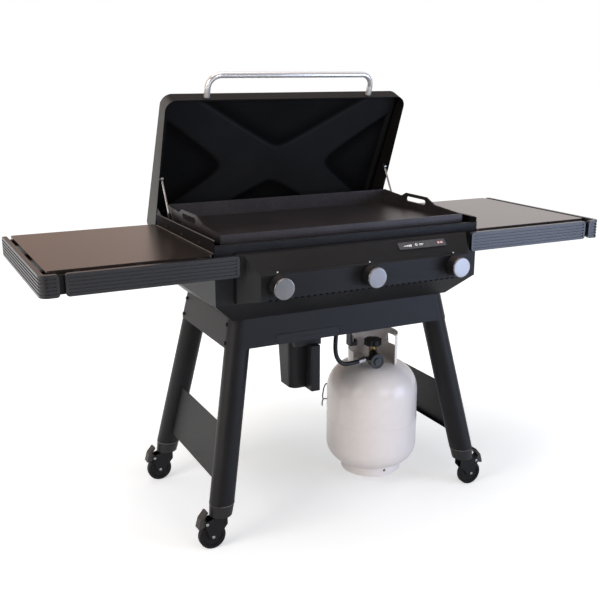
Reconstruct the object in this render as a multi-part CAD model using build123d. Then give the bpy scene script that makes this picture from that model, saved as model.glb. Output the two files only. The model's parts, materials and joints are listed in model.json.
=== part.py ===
from build123d import *
from math import hypot, pi, radians, sin, tan
import os

# Gas griddle on a splayed-leg cart. Millimetres, +Z up, floor at Z = 0, front towards -Y.
# Plan positions are taken from the middle of the griddle plate; at the end every piece is
# moved so that the origin lies on the floor under the middle of the part's box.

# General sheet and fit values
SHEET = 2.0
RUN_FIT = 0.05
GAP = 0.5
FAR = 2000.0

# Griddle plate
GRIDDLE_HALF_W = 419.0
GRIDDLE_FRONT = -232.7
GRIDDLE_BACK = 236.0
GRIDDLE_FLOOR_Z = 930.0
GRIDDLE_FLOOR_T = 6.0
GRIDDLE_WALL = 5.0
GRIDDLE_FRONT_Z = GRIDDLE_FLOOR_Z + 22.6
GRIDDLE_BACK_Z = GRIDDLE_FLOOR_Z + 47.0
GRIDDLE_GRIP_Z = GRIDDLE_FLOOR_Z + 51.0
GRIP_FRONT = -34.0
GRIP_BACK = 92.0
GRIP_SLOT_H = 17.0
GRIP_SLOT_EDGE = 11.0
DRAIN_X = -134.0
DRAIN_Y = GRIDDLE_FRONT + 42.7
DRAIN_L = 60.0
DRAIN_W = 16.0
CHUTE_HALF_X = 35.0
CHUTE_HALF_Y = 13.0
CHUTE_LOW_Z = 640.0
CHUTE_TOP_Z = GRIDDLE_FLOOR_Z - 12.0
FOOT_H = 8.0
FOOT_R = 9.0
FOOT_INSET = 40.0
GRIP_SLOPE = 1.7
GRIP_TOE = 9.0
GRIP_SLOT_SHY = 8.0
REST_LIP = 24.0

# Firebox
BOX_HALF_W = GRIDDLE_HALF_W + 32.4
BOX_FRONT = GRIDDLE_FRONT - 35.3
BOX_BACK = GRIDDLE_BACK + 19.0
BOX_KNEE_Z = 755.0
BOX_BASE_Z = 690.0
BOX_SIDE_TOP = GRIDDLE_FLOOR_Z + 15.0
BOX_FRONT_TOP = GRIDDLE_FLOOR_Z - 1.0
BOX_BACK_TOP = GRIDDLE_FLOOR_Z - 5.0
BOX_FLANGE = 8.0
LEDGE_DEEP = 14.0
MITRE_OUT = 3.0
MITRE_IN = 1.6

# Lid, drawn closed and then turned open about its hinge
LID_HALF_W = GRIDDLE_HALF_W + 20.5
LID_RIM_Z = BOX_FRONT_TOP + 5.5
LID_FRONT = GRIDDLE_FRONT - 18.3
LID_BACK = GRIDDLE_BACK + 29.0
LID_FRONT_H = 58.0
LID_BACK_H = 100.0
LID_CORNER_R = 38.0
LID_EDGE_R = 9.0
LID_OPEN = 68.4
HINGE_Y = BOX_BACK - 30.0
HINGE_DROP = 100.0
HINGE_Z = GRIDDLE_FLOOR_Z - HINGE_DROP
HINGE_PIN_R = 5.0
ARM_T = 3.0
ARM_W = 18.0
ARM_KNEE = (23.5, 101.0)
ARM_TIP = (85.0, 133.0)
PIN_CAP = 1.6
LINER_T = 6.0
LINER_POCKET = 4.5
LINER_GAP = 9.0
LINER_MARGIN = 9.0
POCKET_MID_Y = 20.0
POCKET_EDGE = 24.0
POCKET_END_APEX = 183.0
POCKET_END_RISE = 0.73
POCKET_SIDE_APEX = 59.0
POCKET_SIDE_RUN = 1.59
POCKET_R = 34.0
SPACER_R = 8.0

# Lid handle
HANDLE_R = 10.0
HANDLE_INSET = 142.5
HANDLE_HALF_W = LID_HALF_W - HANDLE_INSET
HANDLE_REACH = 72.0
HANDLE_BEND_R = 42.0
HANDLE_Z = 24.0

# Gas struts of the lid
STRUT_X = GRIDDLE_HALF_W + 8.0
STRUT_FOOT_Y = HINGE_Y - 87.0
STRUT_FOOT_Z = HINGE_Z + 19.0
STRUT_TOP_Y = HINGE_Y + 33.0
STRUT_TOP_RISE = 228.0
STRUT_TOP_Z = HINGE_Z + STRUT_TOP_RISE
STRUT_TUBE_R = 5.5
STRUT_ROD_R = 3.5
STRUT_TUBE_L = 118.0
STRUT_EYE_R = 7.0
STRUT_PIN_R = 3.0
STRUT_NECK = 9.0
STRUT_BORE_FLOOR = 14.0
STRUT_LAP = 10.0

# Control fascia, as a folded sheet in front of the firebox
FASCIA_HALF_W = GRIDDLE_HALF_W - 26.0
FASCIA_NOSE_HALF_W = FASCIA_HALF_W - 41.0
FASCIA_TOP_Z = GRIDDLE_FLOOR_Z - 24.5
FASCIA_TOP_Y = BOX_FRONT - 40.0
FASCIA_CREASE_Z = FASCIA_TOP_Z - 53.5
FASCIA_FACE_Y = FASCIA_TOP_Y - 52.0
FASCIA_LOW_Z = FASCIA_CREASE_Z - 73.0
FASCIA_HEEL_Z = FASCIA_LOW_Z - 21.0
FASCIA_CHEEK = 25.0
FOLD_CREASE = 0.6
FOLD_LOW = 0.8
FOLD_NOSE = 0.7
KNOB_X = FASCIA_HALF_W - 94.2
KNOB_Z = FASCIA_CREASE_Z - 31.5
KNOB_R = 31.5
KNOB_FACE_Y = FASCIA_FACE_Y - 43.0
KNOB_CAP_R = 31.0
KNOB_CAP_L = 9.0
KNOB_CLEAR = 2.5
KNOB_SOCKET = 20.0
KNOB_CAP_ROUND = 3.0
STEM_R = 4.0
STEM_HOLE_R = 6.5
VENT_COUNT = 34
VENT_PITCH = 20.0
VENT_L = 26.0
VENT_W = 5.0
VENT_TURN = 60.0
VENT_FORE = 10.0
VENT_CUT = 28.0
DISPLAY_FROM_END = 191.0
DISPLAY_X = FASCIA_HALF_W - DISPLAY_FROM_END
DISPLAY_L = 170.0
DISPLAY_H = 24.4
DISPLAY_DOWN = 25.1
DISPLAY_T = 3.0
DISPLAY_LAP = 4.0
DISPLAY_R = 4.0
LAMP_R = 2.2
LAMP_DOWN = 66.0

# Burners, valves and gas pipes behind the fascia
BURNER_R = 11.0
BURNER_Z = KNOB_Z + 20.0
BURNER_CLEAR = 3.0
MANIFOLD_BACK = 40.0
MANIFOLD_HALF = 9.0
MANIFOLD_Z = KNOB_Z - 21.0
VALVE_R = 12.0
VALVE_FORE = 20.0
VALVE_BACK = 12.0
STEM_OUT = 16.0
ORIFICE_R = 5.0
ORIFICE_L = 16.0
IGNITER_BACK = 60.0
IGNITER_W = 9.0
IGNITER_L = 30.0
IGNITER_TIP = 12.0
IGNITER_PIN_R = 2.0
PIPE_R = 8.0
INLET_NUT_R = 13.0
INLET_NUT_H = 12.0

# Side shelves and their ribbed rails
SHELF_IN = BOX_HALF_W + 1.6
SHELF_OUT = SHELF_IN + 459.0
SHELF_FRONT = BOX_FRONT + 4.0
SHELF_BACK = BOX_BACK + 30.6
SHELF_Z = GRIDDLE_FLOOR_Z - 24.0
SHELF_LIP = 30.0
SHELF_CORNER_R = 10.0
RAIL_FRONT = SHELF_FRONT - 54.4
RAIL_OUT = SHELF_OUT + 26.0
RAIL_T = 14.0
RAIL_TOP = SHELF_Z + 0.5
RAIL_H = 60.0
RAIL_CORNER_R = 24.0
RAIL_BORDER = 8.0
RAIL_GROOVE = 2.5
RAIL_RIBS = 4
RAIL_RIB_H = 5.0
RAIL_END_R = 9.0
FRONT_RAIL_IN = FASCIA_HALF_W + 3.5
FRONT_RAIL_OUT = SHELF_OUT - 39.5
END_RAIL_IN = RAIL_OUT - 50.0
ARM_BAR_IN = 100.0
ARM_BAR_W = 28.0
ARM_BAR_H = 26.0
BLOCK_W = 20.0
BLOCK_LOW = 5.0
BLOCK_TOP = 6.0
BLOCK_END = 40.0

# Cart: legs, skirt, side panels
LEG_R = 38.0
LEG_WALL = 2.0
LEG_LOW_Z = 142.0
LEG_LOW_X = BOX_HALF_W - 8.5
LEG_LOW_Y = 254.7
LEG_HIGH_Z = BOX_BASE_Z - 4.0
LEG_LEAN_X = 0.19239
LEG_LEAN_Y = 0.15306
COLLAR_LOW_Z = 106.0
COLLAR_LOW_R = 35.0
SKIRT_LOW_Z = 602.0
SKIRT_FIT = 1.5
PANEL_LOW_Z = 186.0
PANEL_HIGH_Z = 358.0
PANEL_OUT = 8.0
PANEL_FOLD = 14.0

# Casters
CASTER_X = LEG_LOW_X + 6.1
CASTER_Y = LEG_LOW_Y + 3.3
CASTER_TRAIL = 30.0
WHEEL_R = 42.0
WHEEL_W = 25.0
AXLE_R = 4.0
FORK_T = 3.0
FORK_GAP = 2.0
FORK_CROWN_R = 24.0
FORK_CROWN_H = 6.0
STEM_PIN_R = 6.0
STEM_PIN_L = 25.0
PEDAL_PIN_R = 3.0
PEDAL_X = CASTER_TRAIL + 19.0
PEDAL_Z = WHEEL_R + 45.0
PEDAL_HUB = 2.5
PEDAL_FOLD = [(-5, 37), (11, 14), (0, 5.5), (1, -5.5), (22, -13), (28, -11), (20, 18), (1, 41)]
RIVET_H = 1.5
TYRE_R = 4.0
FORK_HALF = 16.0
FORK_BACK_Z = WHEEL_R + 34.0
FORK_TOE = (9.0, 8.0)
FORK_EAR = (7.0, 6.0)

# Grease bucket, hung in a notch of the front skirt
BUCKET_X = -134.0
BUCKET_W = 106.0
BUCKET_D = 110.0
BUCKET_TOP_Z = 598.0
BUCKET_LOW_Z = 440.0
BUCKET_TAPER = 7.0
BUCKET_CORNER_R = 24.0
BUCKET_RIM = 10.0
BUCKET_FRONT = -206.0
LIP_T = 3.0
GRIP_W = 30.0
GRIP_D = 40.0
GRIP_SIDE = 15.5
GRIP_DROP = 12.0
GRIP_CORNER_R = 4.0
WEB_HALF = 45.0
WEB_FRONT = 15.0
WEB_DEEP = 8.0
WEB_H = 16.0
NOTCH_LEFT = -244.0
NOTCH_RIGHT = -25.0
NOTCH_Z = 632.0
NOTCH_R = 10.0
HOLDER_T = 3.0
HOLDER_CLEAR = 1.5
HOLDER_FRONT = 10.0
CHUTE_FLANGE = 8.0

# Propane cylinder, hung by its collar
TANK_X = 185.0
TANK_Y = -81.2
TANK_R = 155.0
TANK_WALL = 3.0
TANK_LOW_Z = 57.7
TANK_FOOT_R = 101.0
TANK_DOME_LOW_Z = 86.0
TANK_DOME_TOP_Z = 446.0
TANK_LOW_ROUND = 72.0
TANK_TOP_ROUND = 100.0
COLLAR_R = 84.0
COLLAR_T = 3.0
COLLAR_MOUTH_TURN = 245.0
HAND_HOLE_W = 70.0
HAND_HOLE_H = 34.0
HAND_HOLE_R = 14.0
HAND_HOLE_DOWN = 22.0
HANGER_T = 6.0
HANGER_W = 28.0
HANGER_H = 12.0
HANGER_LIP = 8.0
HANGER_CLEAR = 5.0
HANGER_PAD = 24.0
OUTLET_L = 40.0
OUTLET_R = 12.0
SPINDLE_R = 5.0
SPINDLE_SHY = 4.0
NOTCH_COUNT = 6
NOTCH_CUT_R = 8.0
NOTCH_OUT = 4.0
NUT_L = 30.0
REG_NECK_R = 8.0
REG_ROUND = 4.0
REG_BOSS = 0.45
REG_BOSS_H = 5.0
TAIL_R = 6.0
HOSE_BEND = 0.45
BOLT_R = 5.5
BOLT_H = 4.0
BOLT_ROUND = 1.5
BOLT_LOW = 14.0
BOLT_HIGH = 20.0
COLLAR_TOP_Z = 545.0
COLLAR_OPEN = 112.0
TANK_VALVE_R = 14.0
TANK_VALVE_TOP_Z = 500.0
HANDWHEEL_R = 30.0
HANDWHEEL_T = 20.0

# Regulator and gas hose
REG_X = 142.0
REG_Y = -172.0
REG_Z = 478.0
REG_R = 24.0
REG_T = 26.0
NUT_R = 17.0
FERRULE_R = 8.5
FERRULE_L = 24.0
HOSE_R = 7.2
HOSE_ROUTE = [
    (76.0, -170.0, 483.0),
    (36.0, -170.5, 479.0),
    (10.0, -171.0, 488.0),
    (-6.0, -171.5, 510.0),
    (-11.0, -171.0, 540.0),
    (-8.0, -170.0, 585.0),
    (2.0, -168.0, 632.0),
    (2.0, -168.0, 672.0),
]

# Values that follow from the driving dimensions
LID_DEPTH = LID_BACK - LID_FRONT
LID_MID_Y = (LID_FRONT + LID_BACK) / 2
BOX_MID_Y = (BOX_FRONT + BOX_BACK) / 2
BOX_DEPTH = BOX_BACK - BOX_FRONT
SIDES = (-1, 1)
nodes = {}


def bar(x0, x1, y0, y1, z0, z1):
    """A block between two corners."""
    block = Box(abs(x1 - x0), abs(y1 - y0), abs(z1 - z0))
    return Pos((x0 + x1) / 2, (y0 + y1) / 2, (z0 + z1) / 2) * block


def rod(start, end, radius):
    """A round bar between two points."""
    line = Vector(*end) - Vector(*start)
    return extrude(Plane(start, z_dir=line) * Circle(radius), line.length)


def side_plate(points, x0, x1):
    """A plate drawn as an outline in Y and Z, between two X values."""
    face = make_face(Polyline(*[(x0, y, z) for y, z in points], close=True))
    return extrude(face, x1 - x0, dir=(1, 0, 0))


def hinge_turn(shape, angle):
    """The shape turned about the lid's hinge line; a negative angle opens the lid."""
    return shape.rotate(Axis((0, HINGE_Y, HINGE_Z), (1, 0, 0)), angle)


def leg_axis(z):
    """Plan position of a leg's axis at a height."""
    rise = z - LEG_LOW_Z
    return LEG_LOW_X - LEG_LEAN_X * rise, LEG_LOW_Y - LEG_LEAN_Y * rise


def group(shapes):
    """Separate solids kept together as one piece of the part."""
    return Compound([s for shape in shapes for s in shape.solids()])


def lid_form(inset, drop, edge_r=0):
    """The lid's closed outer form, drawn in by an inset at its sides and a drop at its top."""
    half_w = LID_HALF_W - inset
    plan = Pos(0, LID_MID_Y, LID_RIM_Z) * RectangleRounded(
        2 * half_w, LID_DEPTH - 2 * inset, LID_CORNER_R - inset
    )
    form = extrude(plan, LID_BACK_H)
    over = side_plate(
        [
            (LID_FRONT, LID_RIM_Z + LID_FRONT_H - drop),
            (LID_BACK, LID_RIM_Z + LID_BACK_H - drop),
            (LID_BACK, LID_RIM_Z + 2 * LID_BACK_H),
            (LID_FRONT, LID_RIM_Z + 2 * LID_BACK_H),
        ],
        -LID_HALF_W,
        LID_HALF_W,
    )
    form -= over
    if edge_r:
        top = form.faces().sort_by(Axis.Z)[-1]
        form = fillet(top.edges(), edge_r)
    return form


def make_lid():
    shell = lid_form(0, 0, LID_EDGE_R) - lid_form(SHEET, SHEET, LID_EDGE_R - SHEET)
    liner = lid_form(LINER_MARGIN, LINER_GAP) - lid_form(LINER_MARGIN, LINER_GAP + LINER_T)
    edge_x = LID_HALF_W - LINER_MARGIN - POCKET_EDGE
    rise = POCKET_END_RISE * (edge_x - POCKET_END_APEX)
    pockets = Sketch()
    for sign in SIDES:
        end = Polyline(
            (sign * POCKET_END_APEX, POCKET_MID_Y),
            (sign * edge_x, POCKET_MID_Y + rise),
            (sign * edge_x, POCKET_MID_Y - rise),
            close=True,
        )
        edge_y = LID_MID_Y + sign * (LID_DEPTH / 2 - LINER_MARGIN - POCKET_EDGE)
        apex_y = POCKET_MID_Y + sign * POCKET_SIDE_APEX
        run = POCKET_SIDE_RUN * abs(edge_y - apex_y)
        side = Polyline((0, apex_y), (run, edge_y), (-run, edge_y), close=True)
        for outline in (end, side):
            pocket = make_face(outline)
            pockets += fillet(pocket.vertices(), POCKET_R)
    cutter = extrude(Pos(0, 0, LID_RIM_Z) * pockets, LID_BACK_H)
    cutter &= lid_form(LINER_MARGIN, LINER_GAP + LINER_T - LINER_POCKET)
    bosses = []
    for sx in SIDES:
        for sy in SIDES:
            x = sx * (LID_HALF_W - 2 * LID_CORNER_R)
            y = LID_MID_Y + sy * (LID_DEPTH / 2 - 2 * LID_CORNER_R)
            bosses.append(Pos(x, y, LID_RIM_Z) * extrude(Circle(SPACER_R), LID_BACK_H))
    plugs = Part() + bosses
    plugs &= lid_form(SHEET, SHEET) - lid_form(SHEET, LINER_GAP)
    return shell, liner - cutter, plugs


def make_handle():
    z = LID_RIM_Z + HANDLE_Z
    y = LID_FRONT - HANDLE_REACH
    path = FilletPolyline(
        (-HANDLE_HALF_W, LID_FRONT, z),
        (-HANDLE_HALF_W, y, z),
        (HANDLE_HALF_W, y, z),
        (HANDLE_HALF_W, LID_FRONT, z),
        radius=HANDLE_BEND_R,
    )
    start = Plane((-HANDLE_HALF_W, LID_FRONT, z), z_dir=(0, -1, 0))
    return sweep(start * Circle(HANDLE_R), path=path)


shell, liner, plugs = make_lid()
nodes["lid_shell"] = hinge_turn(shell, -LID_OPEN)
nodes["lid_liner"] = hinge_turn(liner, -LID_OPEN)
nodes["liner_spacers"] = hinge_turn(group([plugs]), -LID_OPEN)
nodes["lid_handle"] = hinge_turn(make_handle(), -LID_OPEN)


def make_griddle():
    """Cooking plate: floor, four walls, raised grips with finger slots, drain slot."""
    low = GRIDDLE_FLOOR_Z - GRIDDLE_FLOOR_T
    half = GRIDDLE_HALF_W
    wall = GRIDDLE_WALL
    plate = bar(-half, half, GRIDDLE_FRONT, GRIDDLE_BACK, low, GRIDDLE_FLOOR_Z)
    plate += bar(-half, half, GRIDDLE_FRONT, GRIDDLE_FRONT + wall, low, GRIDDLE_FRONT_Z)
    plate += bar(-half, half, GRIDDLE_BACK - wall, GRIDDLE_BACK, low, GRIDDLE_BACK_Z)
    slope = GRIDDLE_GRIP_Z - GRIDDLE_FRONT_Z
    outline = [
        (GRIDDLE_FRONT, low),
        (GRIDDLE_FRONT, GRIDDLE_FRONT_Z),
        (GRIP_FRONT - GRIP_SLOPE * slope, GRIDDLE_FRONT_Z + GRIP_TOE),
        (GRIP_FRONT, GRIDDLE_GRIP_Z),
        (GRIP_BACK, GRIDDLE_GRIP_Z),
        (GRIP_BACK + slope, GRIDDLE_BACK_Z - GRIP_TOE),
        (GRIDDLE_BACK, GRIDDLE_BACK_Z),
        (GRIDDLE_BACK, low),
    ]
    slot_z = GRIDDLE_GRIP_Z - GRIP_SLOT_EDGE - GRIP_SLOT_H / 2
    slot_y = (GRIP_FRONT + GRIP_BACK) / 2
    slot_l = GRIP_BACK - GRIP_FRONT - GRIP_SLOT_SHY
    slot = Plane((0, slot_y, slot_z), x_dir=(0, 1, 0), z_dir=(1, 0, 0))
    slot = extrude(slot * SlotOverall(slot_l, GRIP_SLOT_H), half + wall, both=True)
    for sign in SIDES:
        plate += side_plate(outline, sign * half, sign * (half - wall))
    plate -= slot
    drain = extrude(Pos(DRAIN_X, DRAIN_Y, low) * SlotOverall(DRAIN_L, DRAIN_W), GRIDDLE_FLOOR_T)
    return plate - drain


def foot_places():
    x = GRIDDLE_HALF_W - FOOT_INSET
    return [
        (sx * x, y)
        for sx in SIDES
        for y in (GRIDDLE_FRONT + FOOT_INSET, GRIDDLE_BACK - FOOT_INSET)
    ]


def make_griddle_feet():
    low = GRIDDLE_FLOOR_Z - GRIDDLE_FLOOR_T - FOOT_H
    return group([Pos(x, y, low) * extrude(Circle(FOOT_R), FOOT_H) for x, y in foot_places()])


def make_griddle_rests():
    """Two angle rails across the firebox that carry the griddle's feet."""
    top = GRIDDLE_FLOOR_Z - GRIDDLE_FLOOR_T - FOOT_H
    reach = GRIDDLE_HALF_W - FOOT_INSET + 2 * FOOT_R
    rails = []
    for y, wall in (
        (GRIDDLE_FRONT + FOOT_INSET + 2 * FOOT_R, BOX_FRONT + SHEET),
        (GRIDDLE_BACK - FOOT_INSET - 2 * FOOT_R, BOX_BACK - SHEET),
    ):
        lip = SHEET if wall > y else -SHEET
        rail = bar(-reach, reach, y, wall, top - SHEET, top)
        rail += bar(-reach, reach, wall - lip, wall, top - REST_LIP, top)
        rails.append(rail)
    return group(rails)


def base_half():
    """Half-size of the skirt's outline at the top, which the firebox stands on."""
    x, y = leg_axis(BOX_BASE_Z)
    return x + LEG_R + SKIRT_FIT + SHEET, y + LEG_R + SKIRT_FIT + SHEET


def firebox_form(inset, top):
    """Upright box over a tapered underside, drawn in by an inset."""
    base_x, base_y = base_half()
    upper = bar(
        -BOX_HALF_W + inset,
        BOX_HALF_W - inset,
        BOX_FRONT + inset,
        BOX_BACK - inset,
        BOX_KNEE_Z,
        top,
    )
    rim = Pos(0, BOX_MID_Y, BOX_KNEE_Z) * Rectangle(2 * (BOX_HALF_W - inset), BOX_DEPTH - 2 * inset)
    foot = Pos(0, 0, BOX_BASE_Z) * Rectangle(2 * (base_x - inset), 2 * (base_y - inset))
    return upper + loft([foot.face(), rim.face()], ruled=True)


def make_firebox():
    """Four bent wall sheets, mitred at the corners, with a flange and a front ledge."""
    base_x, base_y = base_half()
    skin = firebox_form(0, BOX_SIDE_TOP) - firebox_form(SHEET, BOX_SIDE_TOP + 1)
    skin -= bar(-base_x, base_x, -base_y, base_y, BOX_BASE_Z - 1, BOX_BASE_Z + SHEET)
    corner_x, front_y, back_y = BOX_HALF_W, BOX_FRONT, BOX_BACK
    run_x = corner_x - base_x
    walls = {}
    for name, y, run_y in (("front", front_y, -base_y - front_y), ("rear", back_y, base_y - back_y)):
        outline = Polyline(
            (-corner_x - MITRE_OUT * run_x, y - MITRE_OUT * run_y),
            (corner_x + MITRE_OUT * run_x, y - MITRE_OUT * run_y),
            (corner_x - MITRE_IN * run_x, y + MITRE_IN * run_y),
            (-corner_x + MITRE_IN * run_x, y + MITRE_IN * run_y),
            close=True,
        )
        wedge = extrude(make_face(outline), FAR)
        walls[name] = skin & wedge
        skin -= wedge
    walls["left"] = skin & bar(-FAR, 0, -FAR, FAR, 0, FAR)
    walls["right"] = skin & bar(0, FAR, -FAR, FAR, 0, FAR)
    walls["front"] -= bar(-corner_x, corner_x, front_y, front_y + 2 * SHEET, BOX_FRONT_TOP, FAR)
    walls["rear"] -= bar(-corner_x, corner_x, back_y - 2 * SHEET, back_y, BOX_BACK_TOP, FAR)
    for sign in SIDES:
        arm_room = LID_HALF_W - SHEET - 2 * ARM_T
        walls["rear"] -= bar(
            sign * arm_room, sign * corner_x, back_y - 2 * SHEET, back_y, HINGE_Z, FAR
        )
    ledge = bar(
        -corner_x + SHEET,
        corner_x - SHEET,
        front_y + SHEET,
        front_y + LEDGE_DEEP,
        BOX_FRONT_TOP - SHEET,
        BOX_FRONT_TOP,
    )
    walls["front"] += ledge
    for sign, name in ((-1, "left"), (1, "right")):
        flange = bar(
            sign * (corner_x - SHEET),
            sign * (corner_x - BOX_FLANGE),
            front_y + LEDGE_DEEP + SHEET,
            back_y - SHEET,
            BOX_SIDE_TOP - SHEET,
            BOX_SIDE_TOP,
        )
        walls[name] += flange
        slope = side_plate(
            [(front_y, BOX_FRONT_TOP), (front_y, FAR), (front_y + LEDGE_DEEP, BOX_SIDE_TOP + 1)],
            sign * (corner_x - 2 * BOX_FLANGE),
            sign * (corner_x + 1),
        )
        walls[name] -= slope
    stem_cut = Plane((0, front_y, 0), x_dir=(1, 0, 0), z_dir=(0, -1, 0))
    for x in (-KNOB_X, 0, KNOB_X):
        hole = stem_cut * Pos(x, BURNER_Z) * Circle(BURNER_R + BURNER_CLEAR)
        walls["front"] -= extrude(hole, 2 * SHEET, both=True)
    return walls


chute_hole = bar(
    DRAIN_X - CHUTE_HALF_X - GAP,
    DRAIN_X + CHUTE_HALF_X + GAP,
    DRAIN_Y - CHUTE_HALF_Y - GAP,
    DRAIN_Y + CHUTE_HALF_Y + GAP,
    0,
    FAR,
)
nodes["griddle_plate"] = make_griddle() + make_griddle_feet()
nodes["griddle_rests"] = make_griddle_rests() - chute_hole
firebox = make_firebox()


def make_hinge_arms():
    """Bent arms from the hinge pin up to the lid's side, drawn in the open position."""
    out = LID_HALF_W - SHEET
    knee = (HINGE_Y + ARM_KNEE[0], HINGE_Z + ARM_KNEE[1])
    tip = (HINGE_Y + ARM_TIP[0], HINGE_Z + ARM_TIP[1])
    arms = []
    for sign in SIDES:
        face = Plane((sign * out, 0, 0), x_dir=(0, 1, 0), z_dir=(1, 0, 0))
        line = Polyline((HINGE_Y, HINGE_Z), knee, tip)
        shape = trace(line, ARM_W)
        for point in ((HINGE_Y, HINGE_Z), knee, tip):
            shape += Pos(*point) * Circle(ARM_W / 2)
        shape -= Pos(HINGE_Y, HINGE_Z) * Circle(HINGE_PIN_R + RUN_FIT)
        arms.append(extrude(face * shape, -sign * ARM_T))
    return group(arms)


def make_hinge_pins():
    """Shouldered pins through the firebox sides; the arms turn on their thin ends."""
    pins = []
    for sign in SIDES:
        wall = sign * (BOX_HALF_W - SHEET)
        arm_out = sign * (LID_HALF_W - SHEET + GAP)
        arm_in = sign * (LID_HALF_W - SHEET - ARM_T - GAP)
        end = arm_in - sign * 2
        pin = rod((wall, HINGE_Y, HINGE_Z), (arm_out, HINGE_Y, HINGE_Z), 2 * HINGE_PIN_R)
        pin += rod((wall, HINGE_Y, HINGE_Z), (end, HINGE_Y, HINGE_Z), HINGE_PIN_R)
        pin += rod((arm_in, HINGE_Y, HINGE_Z), (end, HINGE_Y, HINGE_Z), PIN_CAP * HINGE_PIN_R)
        pins.append(pin)
    return group(pins)


def strut_point(distance):
    """A point on the open strut's axis, measured from its foot."""
    dy = STRUT_TOP_Y - STRUT_FOOT_Y
    dz = STRUT_TOP_Z - STRUT_FOOT_Z
    length = hypot(dy, dz)
    return STRUT_FOOT_Y + dy * distance / length, STRUT_FOOT_Z + dz * distance / length


def make_strut(sign):
    """Gas strut cylinder with its foot eye, and the rod with its end eye and stud."""
    x = sign * STRUT_X
    length = hypot(STRUT_TOP_Y - STRUT_FOOT_Y, STRUT_TOP_Z - STRUT_FOOT_Z)
    wall = sign * (BOX_HALF_W - SHEET)
    eye_x = x - sign * STRUT_ROD_R
    eye_out = x + sign * STRUT_ROD_R
    tube = rod((x, *strut_point(STRUT_NECK)), (x, *strut_point(STRUT_TUBE_L)), STRUT_TUBE_R)
    tube += rod((x, *strut_point(0)), (x, *strut_point(STRUT_NECK + 1)), STRUT_ROD_R)
    bore = rod(
        (x, *strut_point(STRUT_BORE_FLOOR)), (x, *strut_point(STRUT_TUBE_L + 1)), STRUT_ROD_R + RUN_FIT
    )
    tube += rod((eye_x, *strut_point(0)), (eye_out, *strut_point(0)), STRUT_EYE_R)
    tube -= bore
    hole = rod(
        (eye_x - sign, *strut_point(0)), (eye_out + sign, *strut_point(0)), STRUT_PIN_R + RUN_FIT
    )
    tube -= hole
    inner = rod(
        (x, *strut_point(STRUT_TUBE_L - STRUT_LAP)), (x, *strut_point(length)), STRUT_ROD_R
    )
    inner += rod((eye_x, *strut_point(length)), (eye_out, *strut_point(length)), STRUT_EYE_R)
    stud_end = sign * (LID_HALF_W - SHEET - GAP)
    inner += rod((eye_out, *strut_point(length)), (stud_end, *strut_point(length)), STRUT_PIN_R)
    post = rod((wall, *strut_point(0)), (eye_out + sign * GAP, *strut_point(0)), STRUT_EYE_R)
    post += rod((wall, *strut_point(0)), (eye_x - sign * GAP, *strut_point(0)), STRUT_PIN_R)
    return tube, inner, post


def fascia_form(inset):
    """The fascia's folded form with bevelled ends, drawn in by an inset."""
    heel = BOX_FRONT
    run = FASCIA_FACE_Y - FASCIA_TOP_Y
    drop = FASCIA_CREASE_Z - FASCIA_TOP_Z
    fold = hypot(run, drop)
    shift = inset * (fold + run) / -drop
    outline = [
        (heel + inset, FASCIA_TOP_Z - inset),
        (FASCIA_TOP_Y + shift, FASCIA_TOP_Z - inset),
        (FASCIA_FACE_Y + inset, FASCIA_CREASE_Z - inset * FOLD_CREASE),
        (FASCIA_FACE_Y + inset, FASCIA_LOW_Z + inset * FOLD_LOW),
        (heel + inset, FASCIA_HEEL_Z + inset),
    ]
    half = FASCIA_HALF_W - inset
    nose = FASCIA_NOSE_HALF_W - inset * FOLD_NOSE
    form = side_plate(outline, -half, half)
    plan = Polyline(
        (-half, heel + inset),
        (-half, FASCIA_TOP_Y + FASCIA_CHEEK),
        (-nose, FASCIA_FACE_Y + inset),
        (nose, FASCIA_FACE_Y + inset),
        (half, FASCIA_TOP_Y + FASCIA_CHEEK),
        (half, heel + inset),
        close=True,
    )
    return form & extrude(make_face(plan), FAR)


def slope_plane(x, down):
    """A plane on the fascia's sloping upper face, a distance down from its top edge."""
    run = FASCIA_FACE_Y - FASCIA_TOP_Y
    drop = FASCIA_CREASE_Z - FASCIA_TOP_Z
    fold = hypot(run, drop)
    at = (x, FASCIA_TOP_Y + run * down / fold, FASCIA_TOP_Z + drop * down / fold)
    return Plane(at, x_dir=(1, 0, 0), z_dir=(0, drop / fold, -run / fold))


def make_fascia():
    """Folded control panel with stem holes, vent slots, display window and lamp holes."""
    panel = fascia_form(0) - fascia_form(SHEET)
    panel -= bar(-FASCIA_HALF_W, FASCIA_HALF_W, BOX_FRONT - GAP, FAR, 0, FAR)
    face = Plane((0, FASCIA_FACE_Y, 0), x_dir=(1, 0, 0), z_dir=(0, -1, 0))
    for x in (-KNOB_X, 0, KNOB_X):
        panel -= extrude(face * Pos(x, KNOB_Z) * Circle(STEM_HOLE_R), 2 * SHEET, both=True)
    under_y = (FASCIA_FACE_Y + BOX_FRONT) / 2 - VENT_FORE
    vents = []
    for i in range(VENT_COUNT):
        x = (i - (VENT_COUNT - 1) / 2) * VENT_PITCH
        slot = Pos(x, under_y, FASCIA_HEEL_Z - SHEET) * Rot(0, 0, VENT_TURN) * SlotOverall(VENT_L, VENT_W)
        vents.append(extrude(slot, VENT_CUT))
    panel -= vents
    window = slope_plane(DISPLAY_X, DISPLAY_DOWN) * Rectangle(
        DISPLAY_L - 2 * DISPLAY_LAP, DISPLAY_H - 2 * DISPLAY_LAP
    )
    panel -= extrude(window, 2 * SHEET, both=True)
    for x in (-KNOB_X, 0, KNOB_X):
        panel -= extrude(slope_plane(x, LAMP_DOWN) * Circle(LAMP_R + RUN_FIT), 2 * SHEET, both=True)
    return panel


def make_display():
    glass = slope_plane(DISPLAY_X, DISPLAY_DOWN) * RectangleRounded(DISPLAY_L, DISPLAY_H, DISPLAY_R)
    return extrude(glass, DISPLAY_T)


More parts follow.
